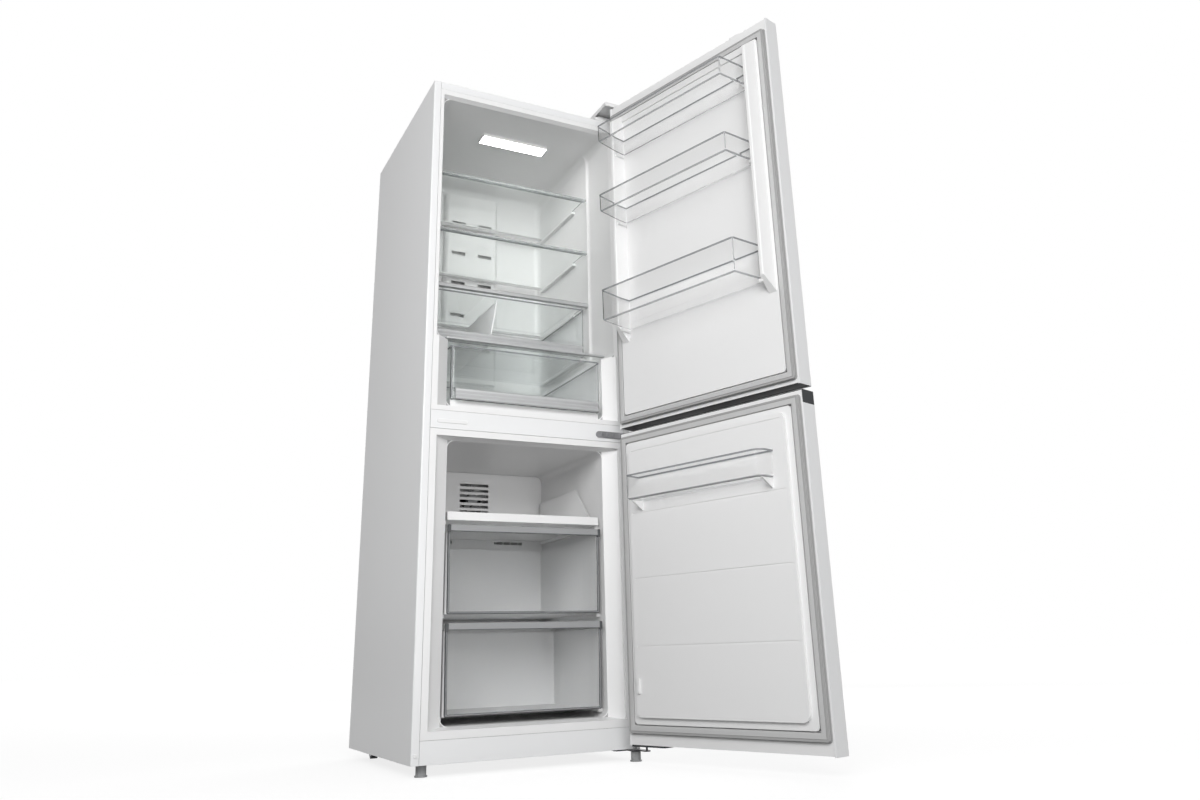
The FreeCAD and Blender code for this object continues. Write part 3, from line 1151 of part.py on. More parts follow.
def lower_door_foam():
    z0 = LOWER_DOOR_BOTTOM + BOTTOM_CAP_RECESS + BOTTOM_CAP_HEIGHT
    core = door_filling(z0, LOWER_DOOR_TOP - GRIP_CAP_HEIGHT, LINER_REAR)
    return union(core, lower_form(LINER_SHEET)).cut(lower_door_liner())


def upper_door_top_cap():
    cap = door_filling(UPPER_DOOR_TOP - TOP_CAP_HEIGHT, UPPER_DOOR_TOP, LINER_REAR)
    tab = door_box(TAB_START, TAB_END, TAB_INNER, TAB_OUTER, UPPER_DOOR_TOP, UPPER_DOOR_TOP + TAB_HEIGHT)
    tab = round_along(tab, DOOR_CORNER_RADIUS, Z_AXIS)
    hole = pin(UPPER_DOOR_TOP - PIN_ENGAGEMENT - FIT, UPPER_DOOR_TOP + OVERCUT, PIN_HOLE_RADIUS)
    return union(cap, tab).cut(hole)


def upper_door_bottom_cap():
    z0 = UPPER_DOOR_BOTTOM + BOTTOM_CAP_RECESS
    cap = door_filling(z0, z0 + BOTTOM_CAP_HEIGHT, LINER_REAR)
    return cap.cut(pin(z0 - OVERCUT, z0 + PIN_ENGAGEMENT + FIT, PIN_HOLE_RADIUS))


def lower_door_top_cap():
    z0 = LOWER_DOOR_TOP - GRIP_CAP_HEIGHT
    cap = door_box(0, CABINET_WIDTH, LINER_REAR, DOOR_OUTER, z0, LOWER_DOOR_TOP)
    cap = cap.makeFillet(DOOR_CORNER_RADIUS, [
        e for e in cap.Edges
        if straight_along(e, Z_AXIS) and e.Vertexes[0].Y < -SKIN_INSIDE
    ])
    ends = door_box(0, CABINET_WIDTH, DOOR_INNER, LINER_REAR, z0, LOWER_DOOR_TOP)
    middle = door_box(STEEL_SHEET, CABINET_WIDTH - STEEL_SHEET, DOOR_INNER - OVERCUT, LINER_REAR,
                      z0 - OVERCUT, LOWER_DOOR_TOP + OVERCUT)
    grip = door_box(GRIP_END, CABINET_WIDTH - GRIP_END, GRIP_INNER, DOOR_OUTER - GRIP_WALL,
                    LOWER_DOOR_TOP - GRIP_DEPTH, LOWER_DOOR_TOP + OVERCUT)
    hole = pin(LOWER_DOOR_TOP - PIN_ENGAGEMENT - FIT, LOWER_DOOR_TOP + OVERCUT, PIN_HOLE_RADIUS)
    return union(cap, ends.cut(middle)).cut([grip, hole])


def lower_door_bottom_cap():
    z0 = LOWER_DOOR_BOTTOM + BOTTOM_CAP_RECESS
    cap = door_filling(z0, z0 + BOTTOM_CAP_HEIGHT, LINER_REAR)
    plate = door_box(STEEL_SHEET, STOP_PLATE_LENGTH, LINER_REAR, SKIN_INSIDE,
                     LOWER_DOOR_BOTTOM - STOP_PLATE_THICKNESS, z0)
    plate = round_along(plate, DOOR_CORNER_RADIUS - STEEL_SHEET, Z_AXIS)
    hole = pin(0, z0 + PIN_ENGAGEMENT + FIT, PIN_HOLE_RADIUS)
    return union(cap, plate).cut(hole)


# ---------------------------------------------------------------- door bins
def bin_from(points, z0, height, radius):
    """An open bin over a door-side outline of (s, n) points, its front corners rounded."""
    outline = [door_point(s, n, z0) for s, n in points]
    outer = prism(outline, vector(0, 0, height))
    front = max(p.y for p in outline)
    outer = outer.makeFillet(radius, [
        e for e in outer.Edges
        if straight_along(e, Z_AXIS) and e.Vertexes[0].Y > front - BIN_WALL
    ])
    floor = min(outer.Faces, key=lambda f: f.CenterOfMass.z)
    inner = floor.makeOffset2D(-BIN_WALL).extrude(vector(0, 0, height))
    return outer.cut(inner.translated(vector(0, 0, BIN_WALL)))


def upper_bin(z0, height):
    far = CABINET_WIDTH
    back = RECESS_FLOOR - FIT
    points = [
        (BIN_REAR_SIDE, back),
        (BIN_REAR_SIDE, -BIN_NECK),
        (BIN_FRONT_SIDE, -BIN_FRONT),
        (far - BIN_FRONT_SIDE, -BIN_FRONT),
        (far - BIN_REAR_SIDE, -BIN_NECK),
        (far - BIN_REAR_SIDE, back),
    ]
    return bin_from(points, z0, height, BIN_RADIUS)


def freezer_bin():
    far = CABINET_WIDTH
    back = -PANEL_FACE - FIT
    points = [
        (FREEZER_BIN_SIDE, back),
        (FREEZER_BIN_SIDE, -FREEZER_BIN_FRONT),
        (far - FREEZER_BIN_SIDE, -FREEZER_BIN_FRONT),
        (far - FREEZER_BIN_SIDE, back),
    ]
    return bin_from(points, FREEZER_BIN_Z, FREEZER_BIN_HEIGHT, FREEZER_BIN_RADIUS)


# ---------------------------------------------------------------- hinges
def nose_plate(x0, y_back, z0, thickness):
    """A hinge plate that ends in a round nose about the pin."""
    nose = cylinder(HINGE_X, HINGE_Y, z0, HINGE_NOSE_RADIUS, thickness, Z_AXIS)
    arm = box(HINGE_X - HINGE_NOSE_RADIUS, HINGE_X + HINGE_NOSE_RADIUS, HINGE_Y, 0, z0, z0 + thickness)
    base = box(x0, HINGE_X + HINGE_NOSE_RADIUS, 0, y_back, z0, z0 + thickness)
    return union(nose, arm, base)


def top_hinge():
    z1 = HINGE_PLATE_TOP_Z
    nose = cylinder(HINGE_X, HINGE_Y, z1, HINGE_NOSE_RADIUS, HINGE_PLATE, Z_AXIS)
    right = HINGE_X + HINGE_NOSE_RADIUS
    front = PANEL_CORNER_RADIUS
    bend = front + HINGE_PLATE
    arm = box(HINGE_X - HINGE_NOSE_RADIUS, right, HINGE_Y, bend, z1, z1 + HINGE_PLATE)
    riser = box(TOP_HINGE_LEFT, right, front, bend, CABINET_TOP, z1 + HINGE_PLATE)
    base = box(TOP_HINGE_LEFT, right, front, TOP_HINGE_BACK, CABINET_TOP, CABINET_TOP + HINGE_PLATE)
    shaft = pin(UPPER_DOOR_TOP - PIN_ENGAGEMENT, z1 + HINGE_PLATE, HINGE_PIN_RADIUS)
    return union(nose, arm, riser, base, shaft)


def middle_hinge():
    z = DOOR_GAP_MIDDLE
    mount = pill_plate(MIDDLE_HINGE_LEFT, MIDDLE_HINGE_RIGHT, -HINGE_PLATE, 0, MIDDLE_HINGE_Z,
                       MIDDLE_HINGE_HEIGHT / 2)
    arm = box(HINGE_X - HINGE_NOSE_RADIUS, MIDDLE_HINGE_RIGHT, HINGE_Y, -HINGE_PLATE / 2,
              z - HINGE_PLATE / 2, z + HINGE_PLATE / 2)
    nose = cylinder(HINGE_X, HINGE_Y, z - HINGE_PLATE / 2, HINGE_NOSE_RADIUS, HINGE_PLATE, Z_AXIS)
    shaft = pin(LOWER_DOOR_TOP - PIN_ENGAGEMENT, UPPER_DOOR_BOTTOM + BOTTOM_CAP_RECESS + PIN_ENGAGEMENT,
                HINGE_PIN_RADIUS)
    return union(mount, arm, nose, shaft)


def bottom_hinge():
    plate = nose_plate(BOTTOM_HINGE_LEFT, BOTTOM_HINGE_BACK, BOTTOM_PLATE_BOTTOM, HINGE_PLATE)
    reach = FOOT_RADIUS
    seat = box(RIGHT_FOOT_X - reach, RIGHT_FOOT_X + reach, RIGHT_FOOT_Y - reach, 0,
               BOTTOM_PLATE_BOTTOM, CABINET_BOTTOM)
    shaft = pin(BOTTOM_PLATE_BOTTOM, LOWER_DOOR_BOTTOM + BOTTOM_CAP_RECESS + PIN_ENGAGEMENT, HINGE_PIN_RADIUS)
    hole = cylinder(RIGHT_FOOT_X, RIGHT_FOOT_Y, 0, STEM_RADIUS + FIT, CABINET_BOTTOM + STEM_LENGTH, Z_AXIS)
    return union(plate, seat, shaft).cut(hole)


def hinge_cover():
    low = CABINET_TOP
    front_low = UPPER_DOOR_TOP + COVER_CLEARANCE
    right = HALF_WIDTH - STEEL_SHEET
    back = box(COVER_LEFT, right, -STEEL_SHEET, COVER_BACK, low, COVER_TOP)
    nose = box(COVER_LEFT, right, -COVER_NOSE, 0, front_low, COVER_TOP)
    outer = union(back, nose)
    outer = outer.makeFillet(COVER_WALL, [
        e for e in outer.Edges
        if min(v.Z for v in e.Vertexes) > COVER_TOP - COVER_WALL
    ])
    wall = COVER_WALL
    inside = box(COVER_LEFT + wall, right - wall, wall, COVER_BACK - wall, low - OVERCUT, COVER_TOP - wall)
    nose_inside = box(COVER_LEFT + wall, right - wall, -COVER_NOSE + wall, COVER_BACK / 2,
                      front_low - OVERCUT, COVER_TOP - wall)
    return outer.cut([inside, nose_inside])


def hinge_screws():
    heads = []
    for step in range(SCREWS_PER_HINGE):
        x = MIDDLE_HINGE_LEFT + (step + 1) * MIDDLE_HINGE_HEIGHT
        heads.append(cylinder(x, -HINGE_PLATE - SCREW_HEAD_HEIGHT, MIDDLE_HINGE_Z, SCREW_HEAD_RADIUS,
                              SCREW_HEAD_HEIGHT, Y_AXIS))
    spacing = TOP_HINGE_LENGTH / SCREWS_PER_HINGE
    for step in range(SCREWS_PER_HINGE):
        x = TOP_HINGE_LEFT + (step + 0.5) * spacing
        heads.append(cylinder(x, TOP_HINGE_BACK / 2 + PANEL_CORNER_RADIUS, CABINET_TOP + HINGE_PLATE,
                              SCREW_HEAD_RADIUS, SCREW_HEAD_HEIGHT, Z_AXIS))
        x = BOTTOM_HINGE_LEFT + (step + 0.5) * spacing
        heads.append(cylinder(x, BOTTOM_HINGE_BACK / 2, BOTTOM_PLATE_BOTTOM - SCREW_HEAD_HEIGHT,
                              SCREW_HEAD_RADIUS, SCREW_HEAD_HEIGHT, Z_AXIS))
    return heads


# ---------------------------------------------------------------- feet and rollers
def foot(x, y, top):
    flare = Part.makeCone(FOOT_RADIUS, FOOT_TOP_RADIUS, FOOT_FLARE, vector(x, y, 0), Z_AXIS)
    barrel = cylinder(x, y, FOOT_FLARE, FOOT_TOP_RADIUS, top - FIT - FOOT_FLARE, Z_AXIS)
    stem = cylinder(x, y, top - 2 * FIT, STEM_RADIUS, STEM_LENGTH, Z_AXIS)
    return union(flare, barrel, stem)


def roller(x):
    half = ROLLER_WIDTH / 2
    wheel = cylinder(x - half, ROLLER_Y, ROLLER_RADIUS, ROLLER_RADIUS, ROLLER_WIDTH, X_AXIS)
    bore = cylinder(x - half - OVERCUT, ROLLER_Y, ROLLER_RADIUS, AXLE_RADIUS + FIT,
                    ROLLER_WIDTH + 2 * OVERCUT, X_AXIS)
    return wheel.cut(bore)


# ---------------------------------------------------------------- everything
def build_cabinet():
    save("right_side_panel", right_side_panel())
    save("left_side_panel", mirrored(right_side_panel()))
    save("top_panel", top_panel())
    save("rear_panel", rear_panel())
    save("compressor_deck", compressor_deck())
    save("plinth", plinth())
    save("divider_rail", divider_rail())
    save("hinge_hole_plugs", *hinge_hole_plugs())
    save("fridge_liner", fridge_liner())
    save("freezer_liner", freezer_liner())
    save("cabinet_foam", cabinet_foam())


def build_machine():
    save("compressor", compressor())
    save("condenser", condenser())
    save("drip_tray", drip_tray())
    save("power_gland", power_gland())
    save("evaporator_cover", evaporator_cover())
    save("evaporator", evaporator())
    save("fan_motor", fan_motor())
    save("fan_rotor", fan_rotor())
    save("air_duct", air_duct())


def build_fridge_fittings():
    save("light_diffuser", light_diffuser())
    save("upper_glass_shelf", *glass_shelf(UPPER_SHELF_Z, SHELF_TRIM_HEIGHT))
    save("middle_glass_shelf", *glass_shelf(MIDDLE_SHELF_Z, SHELF_TRIM_HEIGHT))
    save("crisper_cover_shelf", *glass_shelf(CRISPER_COVER_Z, COVER_TRIM_HEIGHT))
    save("crisper_drawer", crisper_drawer())
    save("crisper_handle", crisper_handle())
    save("crisper_divider", crisper_divider())
    save("meat_cover_shelf", meat_cover_shelf())
    save("meat_drawer", meat_drawer())
    save("meat_drawer_handle", meat_drawer_handle())


def build_freezer_fittings():
    save("freezer_tray", freezer_tray())
    save("upper_freezer_drawer", basket_body(UPPER_BASKET_BOTTOM, UPPER_BASKET_TOP, BASKET_BACK))
    save("upper_freezer_front", basket_front(UPPER_BASKET_BOTTOM, UPPER_BASKET_TOP))
    save("lower_freezer_drawer", basket_body(LOWER_BASKET_BOTTOM, LOWER_BASKET_TOP, LOWER_BASKET_BACK))
    save("lower_freezer_front", basket_front(LOWER_BASKET_BOTTOM, LOWER_BASKET_TOP))


def build_upper_door():
    pieces = {
        "upper_door_skin": door_skin(UPPER_DOOR_BOTTOM, UPPER_DOOR_TOP),
        "upper_door_liner": upper_door_liner(),
        "upper_door_foam": upper_door_foam(),
        "upper_door_gasket": gasket(UPPER_GASKET_BOTTOM, UPPER_GASKET_TOP),
        "upper_door_top_cap": upper_door_top_cap(),
        "upper_door_bottom_cap": upper_door_bottom_cap(),
        "top_door_bin": upper_bin(TOP_BIN_Z, BIN_HEIGHT),
        "middle_door_bin": upper_bin(MIDDLE_BIN_Z, BIN_HEIGHT),
        "bottom_door_bin": upper_bin(BOTTOM_BIN_Z, BOTTOM_BIN_HEIGHT),
    }
    for name, shape in pieces.items():
        save(name, swing(shape, UPPER_DOOR_ANGLE))


def build_lower_door():
    pieces = {
        "lower_door_skin": door_skin(LOWER_DOOR_BOTTOM, LOWER_DOOR_TOP - GRIP_CAP_HEIGHT),
        "lower_door_liner": lower_door_liner(),
        "lower_door_foam": lower_door_foam(),
        "lower_door_gasket": gasket(LOWER_GASKET_BOTTOM, LOWER_GASKET_TOP),
        "lower_door_top_cap": lower_door_top_cap(),
        "lower_door_bottom_cap": lower_door_bottom_cap(),
        "freezer_door_bin": freezer_bin(),
    }
    for name, shape in pieces.items():
        save(name, swing(shape, LOWER_DOOR_ANGLE))


def build_hardware():
    save("top_hinge", top_hinge())
    save("middle_hinge", middle_hinge())
    save("bottom_hinge", bottom_hinge())
    save("hinge_cover", hinge_cover())
    save("hinge_screws", *hinge_screws())
    save("left_front_foot", foot(LEFT_FOOT_X, LEFT_FOOT_Y, CABINET_BOTTOM))
    save("right_front_foot", foot(RIGHT_FOOT_X, RIGHT_FOOT_Y, BOTTOM_PLATE_BOTTOM))
    save("right_rear_roller", roller(ROLLER_X))
    save("left_rear_roller", roller(-ROLLER_X))


os.makedirs("parts", exist_ok=True)
build_cabinet()
build_machine()
build_fridge_fittings()
build_freezer_fittings()
build_upper_door()
build_lower_door()
build_hardware()
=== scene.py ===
import json
import math

import bmesh
import bpy
from mathutils import Matrix, Vector


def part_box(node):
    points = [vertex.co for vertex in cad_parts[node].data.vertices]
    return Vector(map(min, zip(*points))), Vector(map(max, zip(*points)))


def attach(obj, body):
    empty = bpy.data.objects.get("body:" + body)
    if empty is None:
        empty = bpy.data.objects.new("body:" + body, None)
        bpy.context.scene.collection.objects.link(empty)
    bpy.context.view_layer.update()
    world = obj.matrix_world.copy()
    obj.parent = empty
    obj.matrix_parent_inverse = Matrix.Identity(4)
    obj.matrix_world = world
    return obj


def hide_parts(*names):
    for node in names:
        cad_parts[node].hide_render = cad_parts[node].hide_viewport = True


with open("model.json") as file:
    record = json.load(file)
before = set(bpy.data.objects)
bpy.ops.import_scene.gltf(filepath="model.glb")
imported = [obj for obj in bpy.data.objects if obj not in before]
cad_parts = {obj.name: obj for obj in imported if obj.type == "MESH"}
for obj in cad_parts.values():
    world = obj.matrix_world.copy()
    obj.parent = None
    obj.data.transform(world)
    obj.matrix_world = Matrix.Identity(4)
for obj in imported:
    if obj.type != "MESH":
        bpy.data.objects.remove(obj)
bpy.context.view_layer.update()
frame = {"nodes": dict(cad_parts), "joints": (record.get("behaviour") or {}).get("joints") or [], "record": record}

# Everything is in metres, in the frame's own axes: x to the right, y to the back, z up.
MM = 0.001
NODES = frame["nodes"]
RECORD = frame["record"]
JOINTS = {joint["name"]: joint for joint in frame["joints"]}
BODY_OF = {node: body for body, group in RECORD["behaviour"]["bodies"].items() for node in group}
SLOT_OF = {part["node"]: part["material_slot"] for part in RECORD["subparts"]}
FRONT_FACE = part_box("left_side_panel")[0].y

# ---------------------------------------------------------------- camera and light
CAMERA_AT = Vector((-0.7005, -2.3342, 0.2557))
CAMERA_YAW = math.radians(27.82)
CAMERA_PITCH = math.radians(18.6)
CAMERA_ROLL = math.radians(-1.72)
CAMERA_LENS = 28.54
CAMERA_SHIFT_X = -0.0100
CAMERA_SHIFT_Y = -0.0553
CAMERA_NEAR = 0.05
CAMERA_FAR = 200.0
# Each softbox: name, place, point it faces, width, height, watts.
LAMPS = (
    ("front_softbox", (-1.3, -3.2, 2.1), (0.3, 0.0, 1.25), 2.4, 1.6, 77),
    ("low_softbox", (0.1, -3.4, 0.5), (0.3, 0.1, 1.5), 1.8, 0.9, 29),
    ("left_softbox", (-1.35, -1.35, 1.35), (0.0, 0.0, 1.2), 1.0, 1.0, 12),
    ("back_softbox", (3.0, 2.4, 2.4), (0.3, 0.3, 1.0), 2.2, 2.0, 50),
    ("rear_softbox", (1.4, 3.8, 2.2), (0.2, 0.6, 1.0), 1.8, 2.0, 26),
)
WORLD_LIGHT = 0.18
FLOOR_SIZE = 60.0
FLOOR_CELLS = 4
FLOOR_COLOUR = (0.26, 0.26, 0.26, 1.0)
GLOW_NEAR = 0.82
GLOW_FAR = 0.96
GLOW_FROM = 1.0
GLOW_TO = 6.0

# ---------------------------------------------------------------- shelves and drawers
GLASS = 4 * MM
GLASS_RADIUS = 5 * MM
GLASS_EDGE = 1.2 * MM
TRIM_DEPTH = 14 * MM
TRIM_GRIP = 6 * MM
RAIL_HEIGHT = 8 * MM
COVER_RAIL_HEIGHT = 12 * MM
NOSE_SHARE = 1 / 4
NOSE_ANGLES = (0, 0.5, 1.0, 1.57)
REAR_RAIL_RISE = 2 * MM
REAR_RAIL_TOP = 3 * MM
REAR_RAIL_FOOT = 6 * MM
REAR_RAIL_EDGE = 0.4 * MM
DRAWER_WALL = 2.5 * MM
DRAWER_RADIUS = 12 * MM
VESSEL_FOOT = 6 * MM
VESSEL_DRAFT = 2 * MM
VESSEL_BEAD = 0.9 * MM
VESSEL_RIM = 4 * MM
SMALLEST_RADIUS = 1 * MM
COVER_STRIP = 9 * MM
COVER_STRIP_RADIUS = 4 * MM
LENS_MARGIN = Vector((4 * MM, 3 * MM, 0.0))
LENS_RADIUS = 3 * MM
LENS_EDGE = 1 * MM
# The handle band's outline, as shares of its depth from the front and of its height from the top.
BAND_TOP = ((1.0, 0.0), (0.35, 0.0), (0.0, 0.07), (0.0, 0.22))
BAND_FOOT = ((0.0, 0.8), (0.0, 0.95), (0.3, 1.0), (1.0, 1.0))
BAND_HOLLOW_START = (0.12, 0.26)
BAND_HOLLOW_SIZE = (0.42, 0.5)
BAND_STEPS = 10
BAND_EDGE = 0.5 * MM

# ---------------------------------------------------------------- doors
BIN_WALL = 2.5 * MM
BIN_NECK = 30 * MM
BIN_NECK_RADIUS = 20 * MM
BIN_TAPER = 9.5 * MM
BIN_RADIUS = 7 * MM
BIN_REAR_RADIUS = 2 * MM
FREEZER_BIN_RADIUS = 25 * MM
GASKET_RADIUS = 8 * MM
# The gasket's section in mm: how far inside its outline, and how far out from the cabinet's front.
GASKET_SECTION = (
    (2.0, 1.8), (2.6, 1.0), (6.6, 1.0), (7.1, 1.9), (7.7, 1.9), (8.2, 0.7), (13.0, 0.6), (19.8, 0.7),
    (20.6, 1.4), (20.6, 3.0), (19.0, 4.4), (19.0, 5.6), (20.2, 7.0), (18.8, 8.6), (18.8, 9.5),
    (21.0, 9.6), (21.0, 11.4), (0.0, 11.4), (0.0, 9.6), (3.8, 9.5), (3.8, 8.6), (2.4, 7.0),
    (3.6, 5.6), (3.6, 4.4), (2.0, 3.0),
)

# ---------------------------------------------------------------- freezer fronts
BASKET_RIM = 6 * MM
BASKET_LINE = 1.2 * MM
BASKET_CHAMFER = 1 * MM
BASKET_CLEARANCE = 0.1 * MM
BASKET_PANEL = 3 * MM
BASKET_RADIUS = 4 * MM
BASKET_LIP_DEPTH = 9 * MM
BASKET_LIP_HEIGHT = 18 * MM
BASKET_TOP_INSET = 1.5 * MM
BASKET_FOOT_INSET = 4 * MM
GRIP_TOP_GAP = 0.2 * MM
# The grip's section in mm: how far behind its face, and how far below its top or above its foot.
GRIP_TOP = ((2.5, 0.0), (0.8, 0.8), (0.0, 2.5))
GRIP_FOOT = ((0.0, 2.0), (1.0, 0.0), (2.4, 1.0), (2.6, 9.0), (4.0, 11.5))
GRIP_HOLLOW_TOP = 12 * MM
BRACKET_WIDTH = 8 * MM
BRACKET_DROP = 3 * MM
BRACKET_RADIUS = 2.5 * MM
BRACKET_EDGE = 1 * MM

# ---------------------------------------------------------------- machine space and feet
SEAM_SHARE = 0.56
SEAM_HALF_HEIGHT = 3 * MM
SEAM_ROUNDING = 0.4 * MM
SEAM_DEPTH = 6 * MM
STEM_RADIUS = 4 * MM
STEM_LENGTH = 14 * MM
STEM_THREADS = 12
THREAD_DEPTH = 0.5 * MM
STEM_CHAMFER = 0.6 * MM
PAD_EDGE = 0.6 * MM
PAD_ROUNDING = 0.8 * MM
PAD_HEIGHT = 3 * MM
BARREL_FOOT = 4.4 * MM
BARREL_INSET = 2.6 * MM
BARREL_CHAMFER = 1 * MM
FLUTE_DEPTH = 0.7 * MM
SIDES_PER_FLUTE = 4
FOOT_SIDES = 72

# ---------------------------------------------------------------- bands of another material
# A band is the first and last segment of a profile or section, and the slot of the material there.
# A slab's rounded edge.
SLAB_BAND = (0, 6, 1)
# A vessel's beaded rim and the bend at its foot.
RIM_BAND = (5, 14, 1)
FOOT_BAND = (1, 2, 1)
# A front rail's lower and upper edge.
RAIL_BANDS = ((0, 1, 1), (5, 6, 2))
# The gasket's outer lip and outer folds, painted darker as shade.
GASKET_SHADE_BANDS = ((0, 4, 1), (18, 24, 1))
# The front face of a window's rim, and the lower edge of a grip.
RIM_FACE_BAND = (2, 2, 1)
GRIP_FOOT_BAND = (4, 5, 1)
# Upright lines at a vessel's corners: the segment of its outer wall, and the steps of the corner.
WALL_SEGMENT = 4
POST_STEPS = (2, 3)
POST_SLOT = 1

# ---------------------------------------------------------------- meshes and modifiers
ARC_STEPS = 6
SECTION_STEPS = 4
EDGE_STEPS = 3
SHARPEST_TURN = 0.2 * MM
PIECE_BEVEL_STEPS = 3
PIECE_BEVEL_ANGLE = math.radians(40)
SMOOTH_ANGLE = math.radians(50)
WELD_DISTANCE = 0.02 * MM
FLAT_ANGLE = math.radians(0.5)
NODE_BEVEL_STEPS = 2
NODE_BEVEL_ANGLE = math.radians(50)

# ---------------------------------------------------------------- shaders
# A colour mix's sockets, by their place: factor, two colours, and the mixed colour.
MIX_FACTOR = 0
MIX_FIRST = 6
MIX_SECOND = 7
MIX_COLOUR = 2
NOISE_LOW = 0.3
NOISE_HIGH = 0.7
# How far behind the front the foam is painted grey, as shade in the seam.
PAINTED_SHADE_WIDTH = 45 * MM
# Between the diffuse depth of a ray that no surface scattered, 0, and of one scattered once, 1.
SCATTERED_FROM = 0.5


# ---------------------------------------------------------------- materials
def add_node(graph, kind, inputs=None, **settings):
    node = graph.nodes.new(kind)
    for name, value in settings.items():
        setattr(node, name, value)
    for name, value in (inputs or {}).items():
        if isinstance(value, bpy.types.NodeSocket):
            graph.links.new(value, node.inputs[name])
        else:
            node.inputs[name].default_value = value
    return node


def maths(graph, operation, first, second):
    return add_node(graph, "ShaderNodeMath", {0: first, 1: second}, operation=operation).outputs[0]


# Every finish by its name; start_material enters it here.
FINISH = {}


def start_material(name, colour, **sockets):
    """Starts a finish: a principled shader, and the object's own coordinates in metres."""
    material = bpy.data.materials.new(name)
    FINISH[name] = material
    material.use_nodes = True
    graph = material.node_tree
    graph.nodes.clear()
    output = graph.nodes.new("ShaderNodeOutputMaterial")
    shader = graph.nodes.new("ShaderNodeBsdfPrincipled")
    graph.links.new(shader.outputs["BSDF"], output.inputs["Surface"])
    shader.inputs["Base Color"].default_value = (*colour, 1.0)
    for socket, value in sockets.items():
        shader.inputs[socket.replace("_", " ")].default_value = value
    coords = add_node(graph, "ShaderNodeTexCoord").outputs["Object"]
    return graph, shader, output, coords


def noise(graph, coords, scale, detail=3.0):
    inputs = {"Vector": coords, "Scale": scale, "Detail": detail}
    return add_node(graph, "ShaderNodeTexNoise", inputs).outputs["Fac"]


def cells(graph, coords, scale, output="Distance"):
    return add_node(graph, "ShaderNodeTexVoronoi", {"Vector": coords, "Scale": scale}).outputs[output]


def spread(graph, factor, low, high):
    """Stretches a noise, which keeps near 0.5, to a range of values."""
    mapped = add_node(graph, "ShaderNodeMapRange", {
        "Value": factor, "From Min": NOISE_LOW, "From Max": NOISE_HIGH, "To Min": low, "To Max": high})
    return mapped.outputs["Result"]


def mixed(graph, factor, first, second):
    """A colour that goes from the first to the second as the factor goes from 0 to 1."""
    mix = add_node(graph, "ShaderNodeMix", data_type="RGBA")
    graph.links.new(factor, mix.inputs[MIX_FACTOR])
    mix.inputs[MIX_FIRST].default_value = (*first, 1.0)
    mix.inputs[MIX_SECOND].default_value = (*second, 1.0)
    return mix.outputs[MIX_COLOUR]


def tinted(graph, shader, factor, colour, variation):
    """Base colour that wanders between a darker and a lighter version of itself."""
    dark = [c * (1 - variation) for c in colour]
    light = [min(1.0, c * (1 + variation)) for c in colour]
    shade = mixed(graph, spread(graph, factor, 0.0, 1.0), dark, light)
    graph.links.new(shade, shader.inputs["Base Color"])


def uneven_gloss(graph, shader, factor, rough):
    graph.links.new(spread(graph, factor, *rough), shader.inputs["Roughness"])


def raised(graph, shader, height, depth):
    bump = add_node(graph, "ShaderNodeBump", {"Strength": 1.0, "Distance": depth, "Height": height})
    graph.links.new(bump.outputs["Normal"], shader.inputs["Normal"])


def moulded(name, colour, rough=(0.30, 0.34), variation=0.004, grain=420.0, depth=0.01 * MM, **sockets):
    """Painted or moulded surface: faint clouds in the colour, uneven gloss and a fine grain."""
    graph, shader, _, coords = start_material(name, colour, **sockets)
    tinted(graph, shader, noise(graph, coords, scale=2.0, detail=2.0), colour, variation)
    uneven_gloss(graph, shader, noise(graph, coords, scale=9.0), rough)
    raised(graph, shader, noise(graph, coords, scale=grain, detail=2.0), depth)


def spangled(name, colour):
    """Zinc-coated sheet: crystals of differing brightness."""
    graph, shader, _, coords = start_material(name, colour, Metallic=0.55)
    crystal = cells(graph, coords, scale=110.0, output="Color")
    grey = add_node(graph, "ShaderNodeRGBToBW", {"Color": crystal}).outputs["Val"]
    tinted(graph, shader, grey, colour, variation=0.035)
    uneven_gloss(graph, shader, grey, (0.56, 0.60))
    raised(graph, shader, noise(graph, coords, scale=500.0), depth=0.03 * MM)


def brushed(name, colour, metallic=0.9, rough=(0.24, 0.4)):
    """Satin metal or foil with fine lines along x."""
    graph, shader, _, coords = start_material(name, colour, Metallic=metallic)
    stretch = {"Vector": coords, "Scale": (4.0, 600.0, 600.0)}
    lines = add_node(graph, "ShaderNodeMapping", stretch).outputs["Vector"]
    streaks = noise(graph, lines, scale=1.0, detail=4.0)
    tinted(graph, shader, streaks, colour, variation=0.06)
    uneven_gloss(graph, shader, streaks, rough)
    raised(graph, shader, streaks, depth=0.02 * MM)


def foamed(name, colour, painted_shade):
    """Cut rigid foam with closed cells; where it nears the front, it is painted grey as the shade in the seam."""
    graph, shader, _, coords = start_material(name, colour, Roughness=0.9)
    depth = add_node(graph, "ShaderNodeSeparateXYZ", {"Vector": coords}).outputs["Y"]
    # Painted shade: the foam turns grey where it nears the cabinet's front.
    painted_shade_mask = maths(graph, "LESS_THAN", depth, FRONT_FACE + PAINTED_SHADE_WIDTH)
    clouds = spread(graph, noise(graph, coords, scale=12.0, detail=5.0), 0.9, 1.0)
    base = mixed(graph, painted_shade_mask, colour, painted_shade)
    shade = add_node(graph, "ShaderNodeVectorMath", {0: base}, operation="SCALE")
    graph.links.new(clouds, shade.inputs["Scale"])
    graph.links.new(shade.outputs["Vector"], shader.inputs["Base Color"])
    raised(graph, shader, cells(graph, coords, scale=700.0), depth=0.4 * MM)


